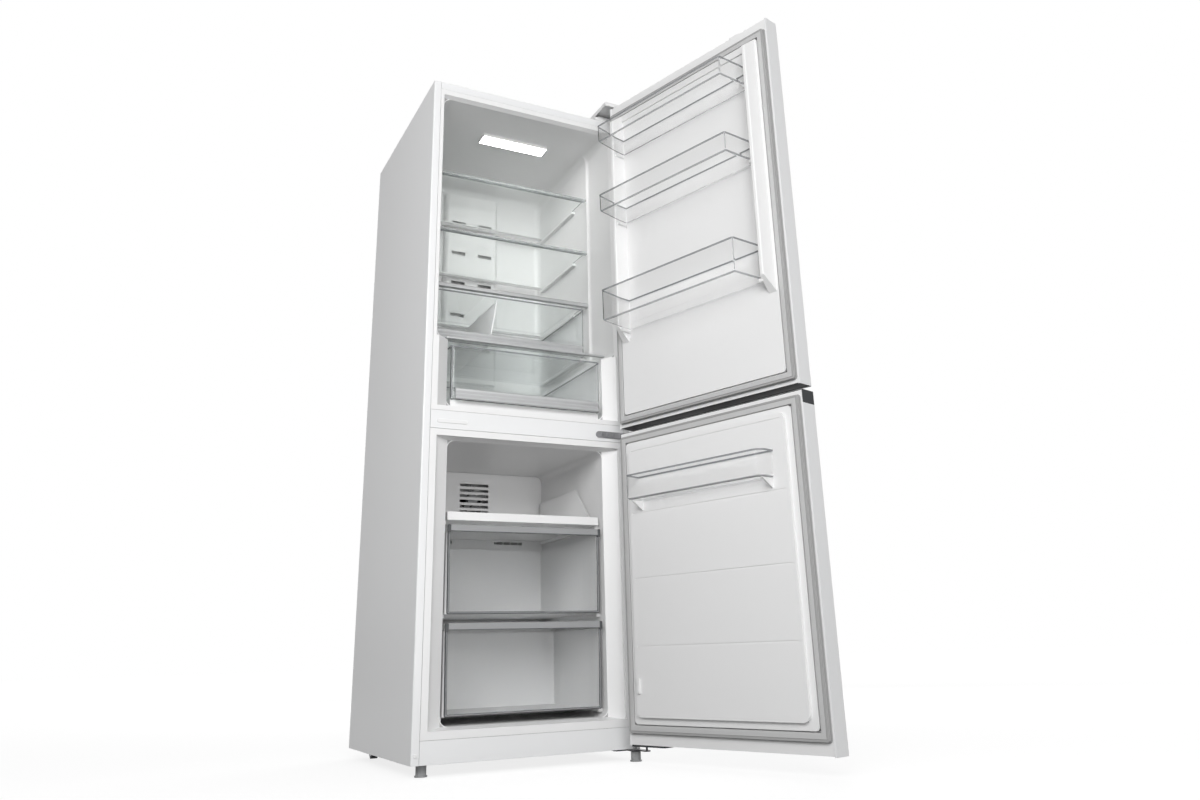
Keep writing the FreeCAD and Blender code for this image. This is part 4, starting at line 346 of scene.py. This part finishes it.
def clear(name, colour, rough, shadow, transmission=1.0, ior=1.28):
    """Glass or clear plastic whose shadow lets the light through, tinted by shadow."""
    graph, shader, output, coords = start_material(
        name, colour, Transmission_Weight=transmission, IOR=ior)
    uneven_gloss(graph, shader, noise(graph, coords, scale=18.0), rough)
    through = add_node(graph, "ShaderNodeBsdfTransparent", {"Color": (*shadow, 1.0)})
    path = add_node(graph, "ShaderNodeLightPath")
    mix = add_node(graph, "ShaderNodeMixShader")
    graph.links.new(path.outputs["Is Shadow Ray"], mix.inputs[0])
    graph.links.new(shader.outputs["BSDF"], mix.inputs[1])
    graph.links.new(through.outputs["BSDF"], mix.inputs[2])
    graph.links.new(mix.outputs["Shader"], output.inputs["Surface"])


def glowing(name, colour, strength):
    """Milky cover of a lamp that is lit."""
    graph, shader, _, coords = start_material(name, colour, Emission_Strength=strength)
    shader.inputs["Emission Color"].default_value = (1.0, 1.0, 0.98, 1.0)
    uneven_gloss(graph, shader, noise(graph, coords, scale=30.0), (0.3, 0.45))
    raised(graph, shader, cells(graph, coords, scale=400.0), depth=0.2 * MM)


moulded("white_steel", (0.80, 0.805, 0.81), rough=(0.295, 0.305), variation=0.002, depth=0.02 * MM)
spangled("galvanised", (0.56, 0.58, 0.60))
moulded("white_plastic", (0.80, 0.80, 0.80))
moulded("liner_plastic", (0.80, 0.80, 0.80), rough=(0.335, 0.345), variation=0.0015, grain=320.0,
        depth=0.006 * MM)
# The grey here is painted shade for the seam at the cabinet's front.
foamed("foam", (0.78, 0.68, 0.42), painted_shade=(0.42, 0.42, 0.42))
moulded("gasket_rubber", (0.52, 0.52, 0.52), rough=(0.52, 0.60), variation=0.02, grain=400.0,
        depth=0.04 * MM)
# Painted shade: a darker grey for the gasket's outer lip and outer folds.
moulded("gasket_painted_shade", (0.36, 0.36, 0.36), rough=(0.55, 0.65), variation=0.02, grain=400.0,
        depth=0.04 * MM)
moulded("dark_plastic", (0.035, 0.037, 0.04), rough=(0.5, 0.6), variation=0.08, grain=500.0,
        depth=0.06 * MM, Specular_IOR_Level=0.25)
moulded("grey_plastic", (0.31, 0.315, 0.32), rough=(0.46, 0.56), variation=0.04, grain=500.0,
        depth=0.06 * MM)
moulded("hinge_steel", (0.05, 0.05, 0.055), rough=(0.36, 0.44), variation=0.08, grain=400.0,
        depth=0.08 * MM, Metallic=0.7)
brushed("hinge_satin", (0.34, 0.34, 0.35), rough=(0.26, 0.36))
brushed("screw_steel", (0.30, 0.30, 0.31))
clear("shelf_glass", (0.97, 0.99, 0.98), rough=(0.0, 0.01), shadow=(0.95, 0.97, 0.96))
clear("glass_edge", (0.30, 0.33, 0.32), rough=(0.1, 0.2), shadow=(0.8, 0.84, 0.82), transmission=0.5)
clear("rail_plastic", (0.80, 0.82, 0.82), rough=(0.06, 0.12), shadow=(0.85, 0.86, 0.86), transmission=0.75)
clear("clear_plastic", (0.965, 0.97, 0.97), rough=(0.0, 0.02), shadow=(0.95, 0.96, 0.96))
clear("bin_plastic", (0.90, 0.90, 0.90), rough=(0.0, 0.02), shadow=(0.90, 0.90, 0.90), ior=1.17)
clear("plastic_edge", (0.36, 0.37, 0.38), rough=(0.12, 0.22), shadow=(0.7, 0.71, 0.72), transmission=0.5)
clear("smoky_plastic", (0.73, 0.735, 0.735), rough=(0.0, 0.03), shadow=(0.84, 0.845, 0.845))
clear("smoky_edge", (0.12, 0.125, 0.13), rough=(0.15, 0.25), shadow=(0.5, 0.5, 0.5), transmission=0.3)
clear("smoky_rim", (0.55, 0.56, 0.57), rough=(0.1, 0.2), shadow=(0.7, 0.7, 0.7), transmission=0.6)
clear("grip_plastic", (0.36, 0.365, 0.37), rough=(0.24, 0.245), shadow=(0.6, 0.6, 0.6), transmission=0.12)
brushed("silver_trim", (0.50, 0.505, 0.51), metallic=0.35, rough=(0.28, 0.36))
brushed("bronze_trim", (0.20, 0.175, 0.16), metallic=0.4, rough=(0.28, 0.36))
glowing("light_plastic", (0.9, 0.9, 0.88), strength=11.0)
brushed("aluminium", (0.62, 0.63, 0.64))
moulded("compressor_black", (0.015, 0.015, 0.017), rough=(0.3, 0.45), variation=0.2, grain=350.0,
        depth=0.2 * MM)


# ---------------------------------------------------------------- meshes
def outline_points(corners, radii, inset):
    """A convex outline, counter-clockwise, moved inwards by inset, with its corners rounded."""
    count = len(corners)
    points = []
    for i, (corner, radius) in enumerate(zip(corners, radii)):
        here = Vector(corner)
        back = (Vector(corners[i - 1]) - here).normalized()
        ahead = (Vector(corners[(i + 1) % count]) - here).normalized()
        half = math.acos(max(-1.0, min(1.0, back.dot(ahead)))) / 2
        middle = (back + ahead).normalized()
        tip = here + middle * (inset / math.sin(half))
        turn = max(radius - inset, SHARPEST_TURN)
        centre = tip + middle * (turn / math.sin(half))
        start = tip + back * (turn / math.tan(half)) - centre
        end = tip + ahead * (turn / math.tan(half)) - centre
        first = math.atan2(start.y, start.x)
        sweep = (math.atan2(end.y, end.x) - first) % (2 * math.pi)
        for step in range(ARC_STEPS + 1):
            angle = first + sweep * step / ARC_STEPS
            points.append(centre + Vector((math.cos(angle), math.sin(angle))) * turn)
    return points


def rectangle(x0, x1, y0, y1):
    return [(x0, y0), (x1, y0), (x1, y1), (x0, y1)]


def arc(centre_inset, centre_height, radius, first, last, steps=SECTION_STEPS):
    """Points (inset, height) of an arc, with its angles in degrees."""
    points = []
    for step in range(steps + 1):
        angle = math.radians(first + (last - first) * step / steps)
        points.append((centre_inset + radius * math.cos(angle), centre_height + radius * math.sin(angle)))
    return points


def material_of(segment, bands):
    """The slot of a segment's material: its band's, or else the first."""
    return next((slot for first, last, slot in bands if first <= segment <= last), 0)


def loft(corners, radii, profile, place, closed=False, bands=(), posts=()):
    """Rings of one outline at each (inset, height) of a profile, joined up.

    posts are the corners whose outer wall shows an upright line of the second material."""
    mesh = bmesh.new()
    rings = []
    for inset, height in profile:
        points = outline_points(corners, radii, inset)
        rings.append([mesh.verts.new(place(p.x, p.y, height)) for p in points])
    pairs = list(zip(rings, rings[1:])) + ([(rings[-1], rings[0])] if closed else [])
    for segment, (low, high) in enumerate(pairs):
        for i in range(len(low)):
            j = (i + 1) % len(low)
            face = mesh.faces.new((low[i], low[j], high[j], high[i]))
            corner, step = divmod(i, ARC_STEPS + 1)
            on_post = segment == WALL_SEGMENT and corner in posts and step in POST_STEPS
            face.material_index = POST_SLOT if on_post else material_of(segment, bands)
    if not closed:
        mesh.faces.new(list(reversed(rings[0])))
        mesh.faces.new(rings[-1])
    return mesh


def extrusion(section, x0, x1, bands=()):
    """A straight bar along x with a cross-section of (y, z) points."""
    mesh = bmesh.new()
    ends = [[mesh.verts.new((x, y, z)) for y, z in section] for x in (x0, x1)]
    for i in range(len(section)):
        j = (i + 1) % len(section)
        face = mesh.faces.new((ends[0][i], ends[0][j], ends[1][j], ends[1][i]))
        face.material_index = material_of(i, bands)
    mesh.faces.new(list(reversed(ends[0])))
    mesh.faces.new(ends[1])
    return mesh


def level(x, y, z):
    return Vector((x, y, z))


def upright(x, z, y):
    """For outlines drawn in x and z, whose profile runs along y."""
    return Vector((x, y, z))


def add_piece(name, mesh, finishes, node, replaces=True, edge=0.0):
    """Turns a bmesh into a piece that stands for a node or rides beside it."""
    bmesh.ops.recalc_face_normals(mesh, faces=mesh.faces)
    data = bpy.data.meshes.new(name)
    mesh.to_mesh(data)
    mesh.free()
    piece = bpy.data.objects.new(name, data)
    bpy.context.scene.collection.objects.link(piece)
    for finish in finishes:
        data.materials.append(FINISH[finish])
    if edge:
        bevel = piece.modifiers.new("edges", "BEVEL")
        bevel.width = edge
        bevel.segments = PIECE_BEVEL_STEPS
        bevel.limit_method = "ANGLE"
        bevel.angle_limit = PIECE_BEVEL_ANGLE
    data.polygons.foreach_set("use_smooth", [True] * len(data.polygons))
    data.set_sharp_from_angle(angle=SMOOTH_ANGLE)
    shading = piece.modifiers.new("shading", "WEIGHTED_NORMAL")
    shading.keep_sharp = True
    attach(piece, BODY_OF[node])
    if replaces:
        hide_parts(node)


def rounded_slab(low, high, radius, edge, place=level):
    """A plate with rounded corners, and edges of the second material, rounded too."""
    corners = rectangle(low[0], high[0], low[1], high[1])
    profile = (arc(edge, low[2] + edge, edge, 270, 180, EDGE_STEPS)
               + arc(edge, high[2] - edge, edge, 180, 90, EDGE_STEPS))
    return loft(corners, [radius] * 4, profile, place, bands=[SLAB_BAND])


def vessel_profile(low, high, wall):
    """From the underside up the outside, over a beaded rim and down the inside to the floor."""
    inner_radius = max(VESSEL_FOOT - wall, SMALLEST_RADIUS)
    inside = VESSEL_DRAFT + wall
    outside = arc(VESSEL_DRAFT + VESSEL_FOOT, low + VESSEL_FOOT, VESSEL_FOOT, 270, 180)
    lip = [(VESSEL_BEAD, high - VESSEL_RIM), (0.0, high - VESSEL_RIM + VESSEL_BEAD)]
    top = (arc(VESSEL_BEAD, high - VESSEL_BEAD, VESSEL_BEAD, 180, 90, EDGE_STEPS)
           + arc(wall, high - VESSEL_BEAD, VESSEL_BEAD, 90, 0, EDGE_STEPS))
    floor = arc(inside + inner_radius, low + wall + inner_radius, inner_radius, 180, 270)
    return outside + lip + top + [(wall + VESSEL_BEAD, high - VESSEL_RIM)] + floor


# ---------------------------------------------------------------- frame nodes that stay
def soften(node, width):
    """Rounds a node's edges: its facets are welded and merged first, so that the bevel runs clean."""
    thing = NODES[node]
    weld = thing.modifiers.new("weld", "WELD")
    weld.merge_threshold = WELD_DISTANCE
    flat = thing.modifiers.new("flat", "DECIMATE")
    flat.decimate_type = "DISSOLVE"
    flat.angle_limit = FLAT_ANGLE
    bevel = thing.modifiers.new("edges", "BEVEL")
    bevel.width = width
    bevel.segments = NODE_BEVEL_STEPS
    bevel.limit_method = "ANGLE"
    bevel.angle_limit = NODE_BEVEL_ANGLE
    thing.modifiers.new("shading", "WEIGHTED_NORMAL")


# How far the edges of each node are rounded, in mm.
SOFT_EDGES = {
    "left_side_panel": 0.8, "right_side_panel": 0.8, "top_panel": 0.8, "plinth": 0.5, "divider_rail": 0.4,
    "hinge_hole_plugs": 0.6, "freezer_tray": 1.2, "hinge_cover": 1.2, "top_hinge": 0.5, "middle_hinge": 0.6,
    "bottom_hinge": 0.5, "air_duct": 0.8, "crisper_divider": 0.8, "upper_freezer_drawer": 0.7,
    "lower_freezer_drawer": 0.7, "upper_door_top_cap": 0.8, "upper_door_bottom_cap": 0.8,
    "lower_door_top_cap": 1.0, "lower_door_bottom_cap": 0.8, "compressor_deck": 0.5, "power_gland": 0.5,
    "evaporator_cover": 0.8, "hinge_screws": 0.6,
}

# Nodes whose look differs from the rest of their slot.
OWN_FINISH = {"top_hinge": "white_steel", "middle_hinge": "hinge_satin"}


def dress_nodes():
    for node, thing in NODES.items():
        thing.data.materials.clear()
        thing.data.materials.append(FINISH[OWN_FINISH.get(node, SLOT_OF[node])])
    for node, width in SOFT_EDGES.items():
        soften(node, width * MM)


# ---------------------------------------------------------------- doors, drawn closed
def door_matrix(joint):
    """Takes a point of the closed door to where the door stands at rest."""
    pivot = Matrix.Translation(Vector(JOINTS[joint]["pos_m"]))
    opened = Matrix.Rotation(math.radians(-JOINTS[joint]["range_deg"][0]), 4, "Z")
    return pivot @ opened @ pivot.inverted()


UPPER_DOOR = door_matrix("upper_door_hinge")
LOWER_DOOR = door_matrix("lower_door_hinge")


def closed_box(node, door):
    """A door node's lowest and highest corners with the door closed."""
    back = door.inverted()
    points = [back @ v.co for v in NODES[node].data.vertices]
    low = Vector([min(p[i] for p in points) for i in range(3)])
    high = Vector([max(p[i] for p in points) for i in range(3)])
    return low, high


def on_door(door):
    """For outlines drawn in x and z on a closed door, whose profile runs along y."""
    return lambda x, z, y: door @ Vector((x, y, z))


def over_door(door):
    """For level outlines on a closed door."""
    return lambda x, y, z: door @ Vector((x, y, z))


def gasket(node, door):
    """Magnetic gasket: a flat face with a strip outside it, two folds and a foot in the liner; the strip and the
    outer folds are painted darker as shade.
    """
    low, high = closed_box(node, door)
    corners = rectangle(low.x, high.x, low.z, high.z)
    profile = [(inset * MM, FRONT_FACE - out * MM) for inset, out in GASKET_SECTION]
    mesh = loft(corners, [GASKET_RADIUS] * 4, profile, on_door(door), closed=True,
                bands=GASKET_SHADE_BANDS)
    add_piece(node + "_bellows", mesh, ["gasket_rubber", "gasket_painted_shade"], node)


def door_bin(node, door, corners, radii, posts):
    """Clear bin with a beaded rim, and darker lines up its front corners."""
    low, high = closed_box(node, door)
    profile = vessel_profile(low.z, high.z, BIN_WALL)
    mesh = loft(corners, radii, profile, over_door(door), bands=[RIM_BAND, FOOT_BAND], posts=posts)
    add_piece(node + "_shell", mesh, ["bin_plastic", "plastic_edge"], node)


def fridge_bin(node):
    """The end towards the cabinet's inside is narrower than the end on the door."""
    low, high = closed_box(node, UPPER_DOOR)
    middle = min(FRONT_FACE + BIN_NECK, high.y)
    corners = [(low.x, low.y), (high.x, low.y), (high.x, middle), (high.x - BIN_TAPER, high.y),
               (low.x + BIN_TAPER, high.y), (low.x, middle)]
    radii = [BIN_REAR_RADIUS, BIN_REAR_RADIUS, BIN_NECK_RADIUS, BIN_RADIUS, BIN_RADIUS, BIN_NECK_RADIUS]
    door_bin(node, UPPER_DOOR, corners, radii, posts=(3, 4))


def freezer_bin(node):
    low, high = closed_box(node, LOWER_DOOR)
    corners = rectangle(low.x, high.x, low.y, high.y)
    radii = [BIN_REAR_RADIUS, BIN_REAR_RADIUS, BIN_RADIUS, FREEZER_BIN_RADIUS]
    door_bin(node, LOWER_DOOR, corners, radii, posts=(2,))


def dress_doors():
    gasket("upper_door_gasket", UPPER_DOOR)
    gasket("lower_door_gasket", LOWER_DOOR)
    for node in ("top_door_bin", "middle_door_bin", "bottom_door_bin"):
        fridge_bin(node)
    freezer_bin("freezer_door_bin")


# ---------------------------------------------------------------- inside the fridge
def front_rail(node, low, high, rail_height, bottom, looks):
    """Slim rail with a rounded nose, which grips the front of the glass."""
    top = low.z + rail_height
    nose = rail_height * NOSE_SHARE
    rear = low.y + TRIM_DEPTH
    under_nose = [(low.y + nose - nose * math.sin(angle), low.z + nose - nose * math.cos(angle))
                  for angle in NOSE_ANGLES]
    over_nose = [(low.y + nose - nose * math.cos(angle), top - nose + nose * math.sin(angle))
                 for angle in NOSE_ANGLES]
    groove = [(rear, top), (rear, bottom + GLASS), (rear - TRIM_GRIP, bottom + GLASS),
              (rear - TRIM_GRIP, bottom), (rear, bottom), (rear, low.z)]
    rail = extrusion(under_nose + over_nose + groove, low.x, high.x, bands=RAIL_BANDS)
    add_piece(node + "_front_rail", rail, looks, node)


def rear_rail(node, low, high, bottom):
    """Rail that grips the rear of the glass and stands up behind it."""
    y = high.y
    front = y - TRIM_DEPTH
    shoulder = bottom + GLASS + REAR_RAIL_RISE
    back = [(front, bottom - GLASS / 2), (y, bottom - GLASS / 2), (y, high.z), (y - REAR_RAIL_TOP, high.z),
            (y - REAR_RAIL_FOOT, shoulder), (front, shoulder), (front, bottom + GLASS),
            (front + TRIM_GRIP, bottom + GLASS), (front + TRIM_GRIP, bottom), (front, bottom)]
    ridge = extrusion(back, low.x + TRIM_DEPTH, high.x - TRIM_DEPTH)
    add_piece(node + "_rear_rail", ridge, ["white_plastic"], node, edge=REAR_RAIL_EDGE)


def shelf(node, rail_height, looks):
    """Glass plate between a front rail and a rear rail."""
    low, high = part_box(node)
    bottom = low.z + (rail_height - GLASS) / 2
    glass = rounded_slab((low.x + TRIM_GRIP, low.y + TRIM_DEPTH - TRIM_GRIP, bottom),
                         (high.x - TRIM_GRIP, high.y - TRIM_DEPTH + TRIM_GRIP, bottom + GLASS),
                         GLASS_RADIUS, GLASS_EDGE)
    add_piece(node + "_plate", glass, ["shelf_glass", "glass_edge"], node)
    front_rail(node, low, high, rail_height, bottom, looks)
    rear_rail(node, low, high, bottom)


def open_drawer(node, finishes):
    """Drawer or tray with a beaded rim; the rim and lines up its front corners have the second finish."""
    low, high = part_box(node)
    corners = rectangle(low.x, high.x, low.y, high.y)
    profile = vessel_profile(low.z, high.z, DRAWER_WALL)
    mesh = loft(corners, [DRAWER_RADIUS] * 4, profile, level, bands=[RIM_BAND], posts=(0, 1))
    add_piece(node + "_shell", mesh, finishes, node)


def handle_band(node):
    """Satin band along the foot of a drawer: a flat upper edge over a hollow for the fingers."""
    low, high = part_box(node)
    deep = high.y - low.y
    tall = high.z - low.z
    hollow = []
    for step in range(BAND_STEPS + 1):
        along = step / BAND_STEPS
        hollow.append((BAND_HOLLOW_START[0] + BAND_HOLLOW_SIZE[0] * math.sin(math.pi * along) ** 2,
                       BAND_HOLLOW_START[1] + BAND_HOLLOW_SIZE[1] * along))
    shares = [*BAND_TOP, *hollow, *BAND_FOOT]
    section = [(low.y + deep * back, high.z - tall * down) for back, down in shares]
    add_piece(node + "_band", extrusion(section, low.x, high.x), ["silver_trim"], node, edge=BAND_EDGE)


def meat_cover():
    """Clear plate over the meat drawer, with a silver edge along its front."""
    node = "meat_cover_shelf"
    low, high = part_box(node)
    plate = rounded_slab((low.x, low.y + COVER_STRIP, low.z), high, GLASS_RADIUS, GLASS_EDGE)
    add_piece(node + "_plate", plate, ["shelf_glass", "glass_edge"], node)
    strip = rounded_slab(low, (high.x, low.y + COVER_STRIP, high.z), COVER_STRIP_RADIUS, GLASS_EDGE)
    add_piece(node + "_edge", strip, ["silver_trim", "silver_trim"], node)


def lamp_cover():
    node = "light_diffuser"
    low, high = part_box(node)
    mesh = rounded_slab(low + LENS_MARGIN, high - LENS_MARGIN, LENS_RADIUS, LENS_EDGE)
    add_piece(node + "_lens", mesh, ["light_plastic", "white_plastic"], node)


def dress_fridge():
    for node in ("upper_glass_shelf", "middle_glass_shelf"):
        shelf(node, RAIL_HEIGHT, ["rail_plastic", "plastic_edge", "plastic_edge"])
    shelf("crisper_cover_shelf", COVER_RAIL_HEIGHT, ["silver_trim", "silver_trim", "bronze_trim"])
    for node in ("crisper_drawer", "meat_drawer"):
        open_drawer(node, ["clear_plastic", "plastic_edge"])
    for node in ("crisper_handle", "meat_drawer_handle"):
        handle_band(node)
    meat_cover()
    lamp_cover()


# ---------------------------------------------------------------- inside the freezer
def tapered(low, high, top_inset, foot_inset):
    """Upright outline, a little narrower at its foot."""
    return [(low.x + foot_inset, low.z), (high.x - foot_inset, low.z),
            (high.x - top_inset, high.z), (low.x + top_inset, high.z)]


def basket_window(node, low, high):
    """Smoky pane in a dark-edged rim."""
    face = low.y + BASKET_LIP_DEPTH
    near = face - BASKET_PANEL
    outline = tapered(low, high, BASKET_TOP_INSET, BASKET_FOOT_INSET)
    radii = [BASKET_RADIUS] * 4
    half_rim = BASKET_RIM / 2
    pane = loft(outline, radii, [(half_rim, face), (half_rim, high.y)], upright)
    add_piece(node + "_pane", pane, ["smoky_plastic"], node)
    inner = half_rim - BASKET_CLEARANCE
    rear = face - BASKET_CLEARANCE
    section = [(0.0, near + BASKET_CHAMFER), (BASKET_CHAMFER, near), (BASKET_LINE + BASKET_CHAMFER, near),
               (BASKET_RIM - BASKET_LINE, near), (BASKET_RIM, near + BASKET_CHAMFER), (BASKET_RIM, rear),
               (inner, rear), (inner, high.y), (0.0, high.y)]
    rim = loft(outline, radii, section, upright, closed=True, bands=[RIM_FACE_BAND])
    add_piece(node + "_rim", rim, ["smoky_edge", "smoky_rim"], node)


def basket_grip(node, low, high):
    """Grip along the top, with a hollow behind its lip and a bracket at each end."""
    near = low.y + BASKET_LIP_DEPTH - BASKET_PANEL
    top = high.z - GRIP_TOP_GAP
    foot = high.z - BASKET_LIP_HEIGHT
    front = low.y
    section = ([(near, top)]
               + [(front + back * MM, top - down * MM) for back, down in GRIP_TOP]
               + [(front + back * MM, foot + up * MM) for back, up in GRIP_FOOT]
               + [(near, foot + GRIP_HOLLOW_TOP)])
    bar = extrusion(section, low.x + BRACKET_WIDTH, high.x - BRACKET_WIDTH, bands=[GRIP_FOOT_BAND])
    add_piece(node + "_grip", bar, ["grip_plastic", "smoky_edge"], node)
    for side, start in (("left", low.x), ("right", high.x - BRACKET_WIDTH)):
        cap = rounded_slab((start, foot - BRACKET_DROP, front), (start + BRACKET_WIDTH, top, near),
                           BRACKET_RADIUS, BRACKET_EDGE, upright)
        add_piece(node + "_" + side + "_bracket", cap, ["smoky_edge", "smoky_edge"], node)


def dress_freezer():
    for node in ("upper_freezer_front", "lower_freezer_front"):
        low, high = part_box(node)
        basket_window(node, low, high)
        basket_grip(node, low, high)


# ---------------------------------------------------------------- machine space and feet
def weld_seam():
    """The seam round the compressor's shell."""
    low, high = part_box("compressor")
    seam = low.z + (high.z - low.z) * SEAM_SHARE
    radius = (high.y - low.y) / 2
    centre = Vector((high.x - radius, (low.y + high.y) / 2))
    corners = rectangle(centre.x - radius, centre.x + radius, centre.y - radius, centre.y + radius)
    under = seam - SEAM_HALF_HEIGHT
    over = seam + SEAM_HALF_HEIGHT
    profile = [(SEAM_ROUNDING, under), (0.0, seam), (SEAM_ROUNDING, over), (SEAM_DEPTH, over),
               (SEAM_DEPTH, under)]
    flange = loft(corners, [radius] * 4, profile, level, closed=True)
    add_piece("compressor_weld_seam", flange, ["compressor_black"], "compressor", replaces=False)


def turned(centre, rows):
    """A turned body from rows of (radius, height, depth of its flutes)."""
    mesh = bmesh.new()
    rings = []
    for reach, z, flute in rows:
        ring = []
        for side in range(FOOT_SIDES):
            angle = 2 * math.pi * side / FOOT_SIDES
            r = reach - flute * (side % SIDES_PER_FLUTE >= SIDES_PER_FLUTE // 2)
            ring.append(mesh.verts.new((centre.x + r * math.cos(angle), centre.y + r * math.sin(angle), z)))
        rings.append(ring)
    for below, above in zip(rings, rings[1:]):
        for i in range(FOOT_SIDES):
            j = (i + 1) % FOOT_SIDES
            mesh.faces.new((below[i], below[j], above[j], above[i]))
    mesh.faces.new(list(reversed(rings[0])))
    mesh.faces.new(rings[-1])
    return mesh


def fluted_foot(node):
    """Levelling foot: a broad base, a fluted barrel, and a stem with rings for its thread."""
    low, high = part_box(node)
    radius = (high.x - low.x) / 2
    barrel = radius - BARREL_INSET
    barrel_top = high.z - STEM_LENGTH
    rows = [(radius - PAD_EDGE, low.z, 0.0), (radius, low.z + PAD_ROUNDING, 0.0),
            (radius, low.z + PAD_HEIGHT, 0.0), (barrel, low.z + BARREL_FOOT, FLUTE_DEPTH),
            (barrel, barrel_top - BARREL_CHAMFER, FLUTE_DEPTH), (barrel - BARREL_CHAMFER, barrel_top, 0.0),
            (STEM_RADIUS, barrel_top, 0.0)]
    pitch = (high.z - barrel_top) / STEM_THREADS
    for turn in range(STEM_THREADS):
        rows.append((STEM_RADIUS - THREAD_DEPTH, barrel_top + pitch * (turn + 1 / 4), 0.0))
        rows.append((STEM_RADIUS, barrel_top + pitch * (turn + 3 / 4), 0.0))
    rows.append((STEM_RADIUS - STEM_CHAMFER, high.z, 0.0))
    add_piece(node + "_turned", turned((low + high) / 2, rows), ["grey_plastic"], node)


def dress_machine():
    open_drawer("drip_tray", ["dark_plastic", "dark_plastic"])
    weld_seam()
    for node in ("left_front_foot", "right_front_foot"):
        fluted_foot(node)


# ---------------------------------------------------------------- stage
def make_camera():
    data = bpy.data.cameras.new("camera")
    data.lens = CAMERA_LENS
    data.shift_x = CAMERA_SHIFT_X
    data.shift_y = CAMERA_SHIFT_Y
    data.clip_start = CAMERA_NEAR
    data.clip_end = CAMERA_FAR
    camera = bpy.data.objects.new("camera", data)
    forward = Vector((math.sin(CAMERA_YAW) * math.cos(CAMERA_PITCH),
                      math.cos(CAMERA_YAW) * math.cos(CAMERA_PITCH),
                      math.sin(CAMERA_PITCH)))
    flat_right = Vector((math.cos(CAMERA_YAW), -math.sin(CAMERA_YAW), 0.0))
    flat_up = flat_right.cross(forward)
    right = flat_right * math.cos(CAMERA_ROLL) + flat_up * math.sin(CAMERA_ROLL)
    up = flat_up * math.cos(CAMERA_ROLL) - flat_right * math.sin(CAMERA_ROLL)
    turn = Matrix((right, up, -forward)).transposed().to_4x4()
    camera.matrix_world = Matrix.Translation(CAMERA_AT) @ turn
    bpy.context.scene.collection.objects.link(camera)
    bpy.context.scene.camera = camera


def make_lights():
    for name, place, target, width, height, power in LAMPS:
        data = bpy.data.lights.new(name, "AREA")
        data.shape = "RECTANGLE"
        data.size = width
        data.size_y = height
        data.energy = power
        light = bpy.data.objects.new(name, data)
        direction = Vector(target) - Vector(place)
        turn = direction.to_track_quat("-Z", "Y").to_matrix().to_4x4()
        light.matrix_world = Matrix.Translation(Vector(place)) @ turn
        bpy.context.scene.collection.objects.link(light)


def background_factor(graph):
    """1 for rays that look at the background straight, in a reflection or through glass, and 0 for
    those that a surface scattered on the way, which light the object."""
    path = add_node(graph, "ShaderNodeLightPath")
    straight = maths(graph, "MAXIMUM", path.outputs["Is Camera Ray"], path.outputs["Is Glossy Ray"])
    seen = maths(graph, "MAXIMUM", straight, path.outputs["Is Transmission Ray"])
    unscattered = maths(graph, "LESS_THAN", path.outputs["Diffuse Depth"], SCATTERED_FROM)
    return maths(graph, "MULTIPLY", seen, unscattered)


def make_world():
    world = bpy.data.worlds.new("studio")
    world.use_nodes = True
    graph = world.node_tree
    graph.nodes.clear()
    output = graph.nodes.new("ShaderNodeOutputWorld")
    background = add_node(graph, "ShaderNodeBackground", {"Color": (1.0, 1.0, 1.0, 1.0)})
    strength = add_node(graph, "ShaderNodeMapRange", {
        "Value": background_factor(graph), "To Min": WORLD_LIGHT, "To Max": 1.0})
    graph.links.new(strength.outputs["Result"], background.inputs["Strength"])
    graph.links.new(background.outputs["Background"], output.inputs["Surface"])
    bpy.context.scene.world = world


def floor_material():
    """Grey, with a glow for the rays that look at the background, which rises with the distance."""
    material = bpy.data.materials.new("pale_floor")
    material.use_nodes = True
    graph = material.node_tree
    graph.nodes.clear()
    output = graph.nodes.new("ShaderNodeOutputMaterial")
    matt = add_node(graph, "ShaderNodeBsdfDiffuse", {"Color": FLOOR_COLOUR})
    coords = add_node(graph, "ShaderNodeTexCoord").outputs["Object"]
    reach = add_node(graph, "ShaderNodeVectorMath", {0: coords}, operation="LENGTH").outputs["Value"]
    level_here = add_node(graph, "ShaderNodeMapRange", {
        "Value": reach, "From Min": GLOW_FROM, "From Max": GLOW_TO, "To Min": GLOW_NEAR, "To Max": GLOW_FAR})
    strength = maths(graph, "MULTIPLY", background_factor(graph), level_here.outputs["Result"])
    glow = add_node(graph, "ShaderNodeEmission", {"Strength": strength})
    total = add_node(graph, "ShaderNodeAddShader")
    graph.links.new(matt.outputs["BSDF"], total.inputs[0])
    graph.links.new(glow.outputs["Emission"], total.inputs[1])
    graph.links.new(total.outputs["Shader"], output.inputs["Surface"])
    return material


def make_floor():
    """Floor that its glow makes white, and that keeps the object's shadow."""
    mesh = bmesh.new()
    bmesh.ops.create_grid(mesh, x_segments=FLOOR_CELLS, y_segments=FLOOR_CELLS, size=FLOOR_SIZE / 2)
    data = bpy.data.meshes.new("floor")
    mesh.to_mesh(data)
    mesh.free()
    floor = bpy.data.objects.new("floor", data)
    bpy.context.scene.collection.objects.link(floor)
    data.materials.append(floor_material())


# ---------------------------------------------------------------- everything
make_camera()
make_lights()
make_world()
make_floor()
dress_nodes()
dress_doors()
dress_fridge()
dress_freezer()
dress_machine()
bpy.context.scene.view_settings.view_transform = "Standard"
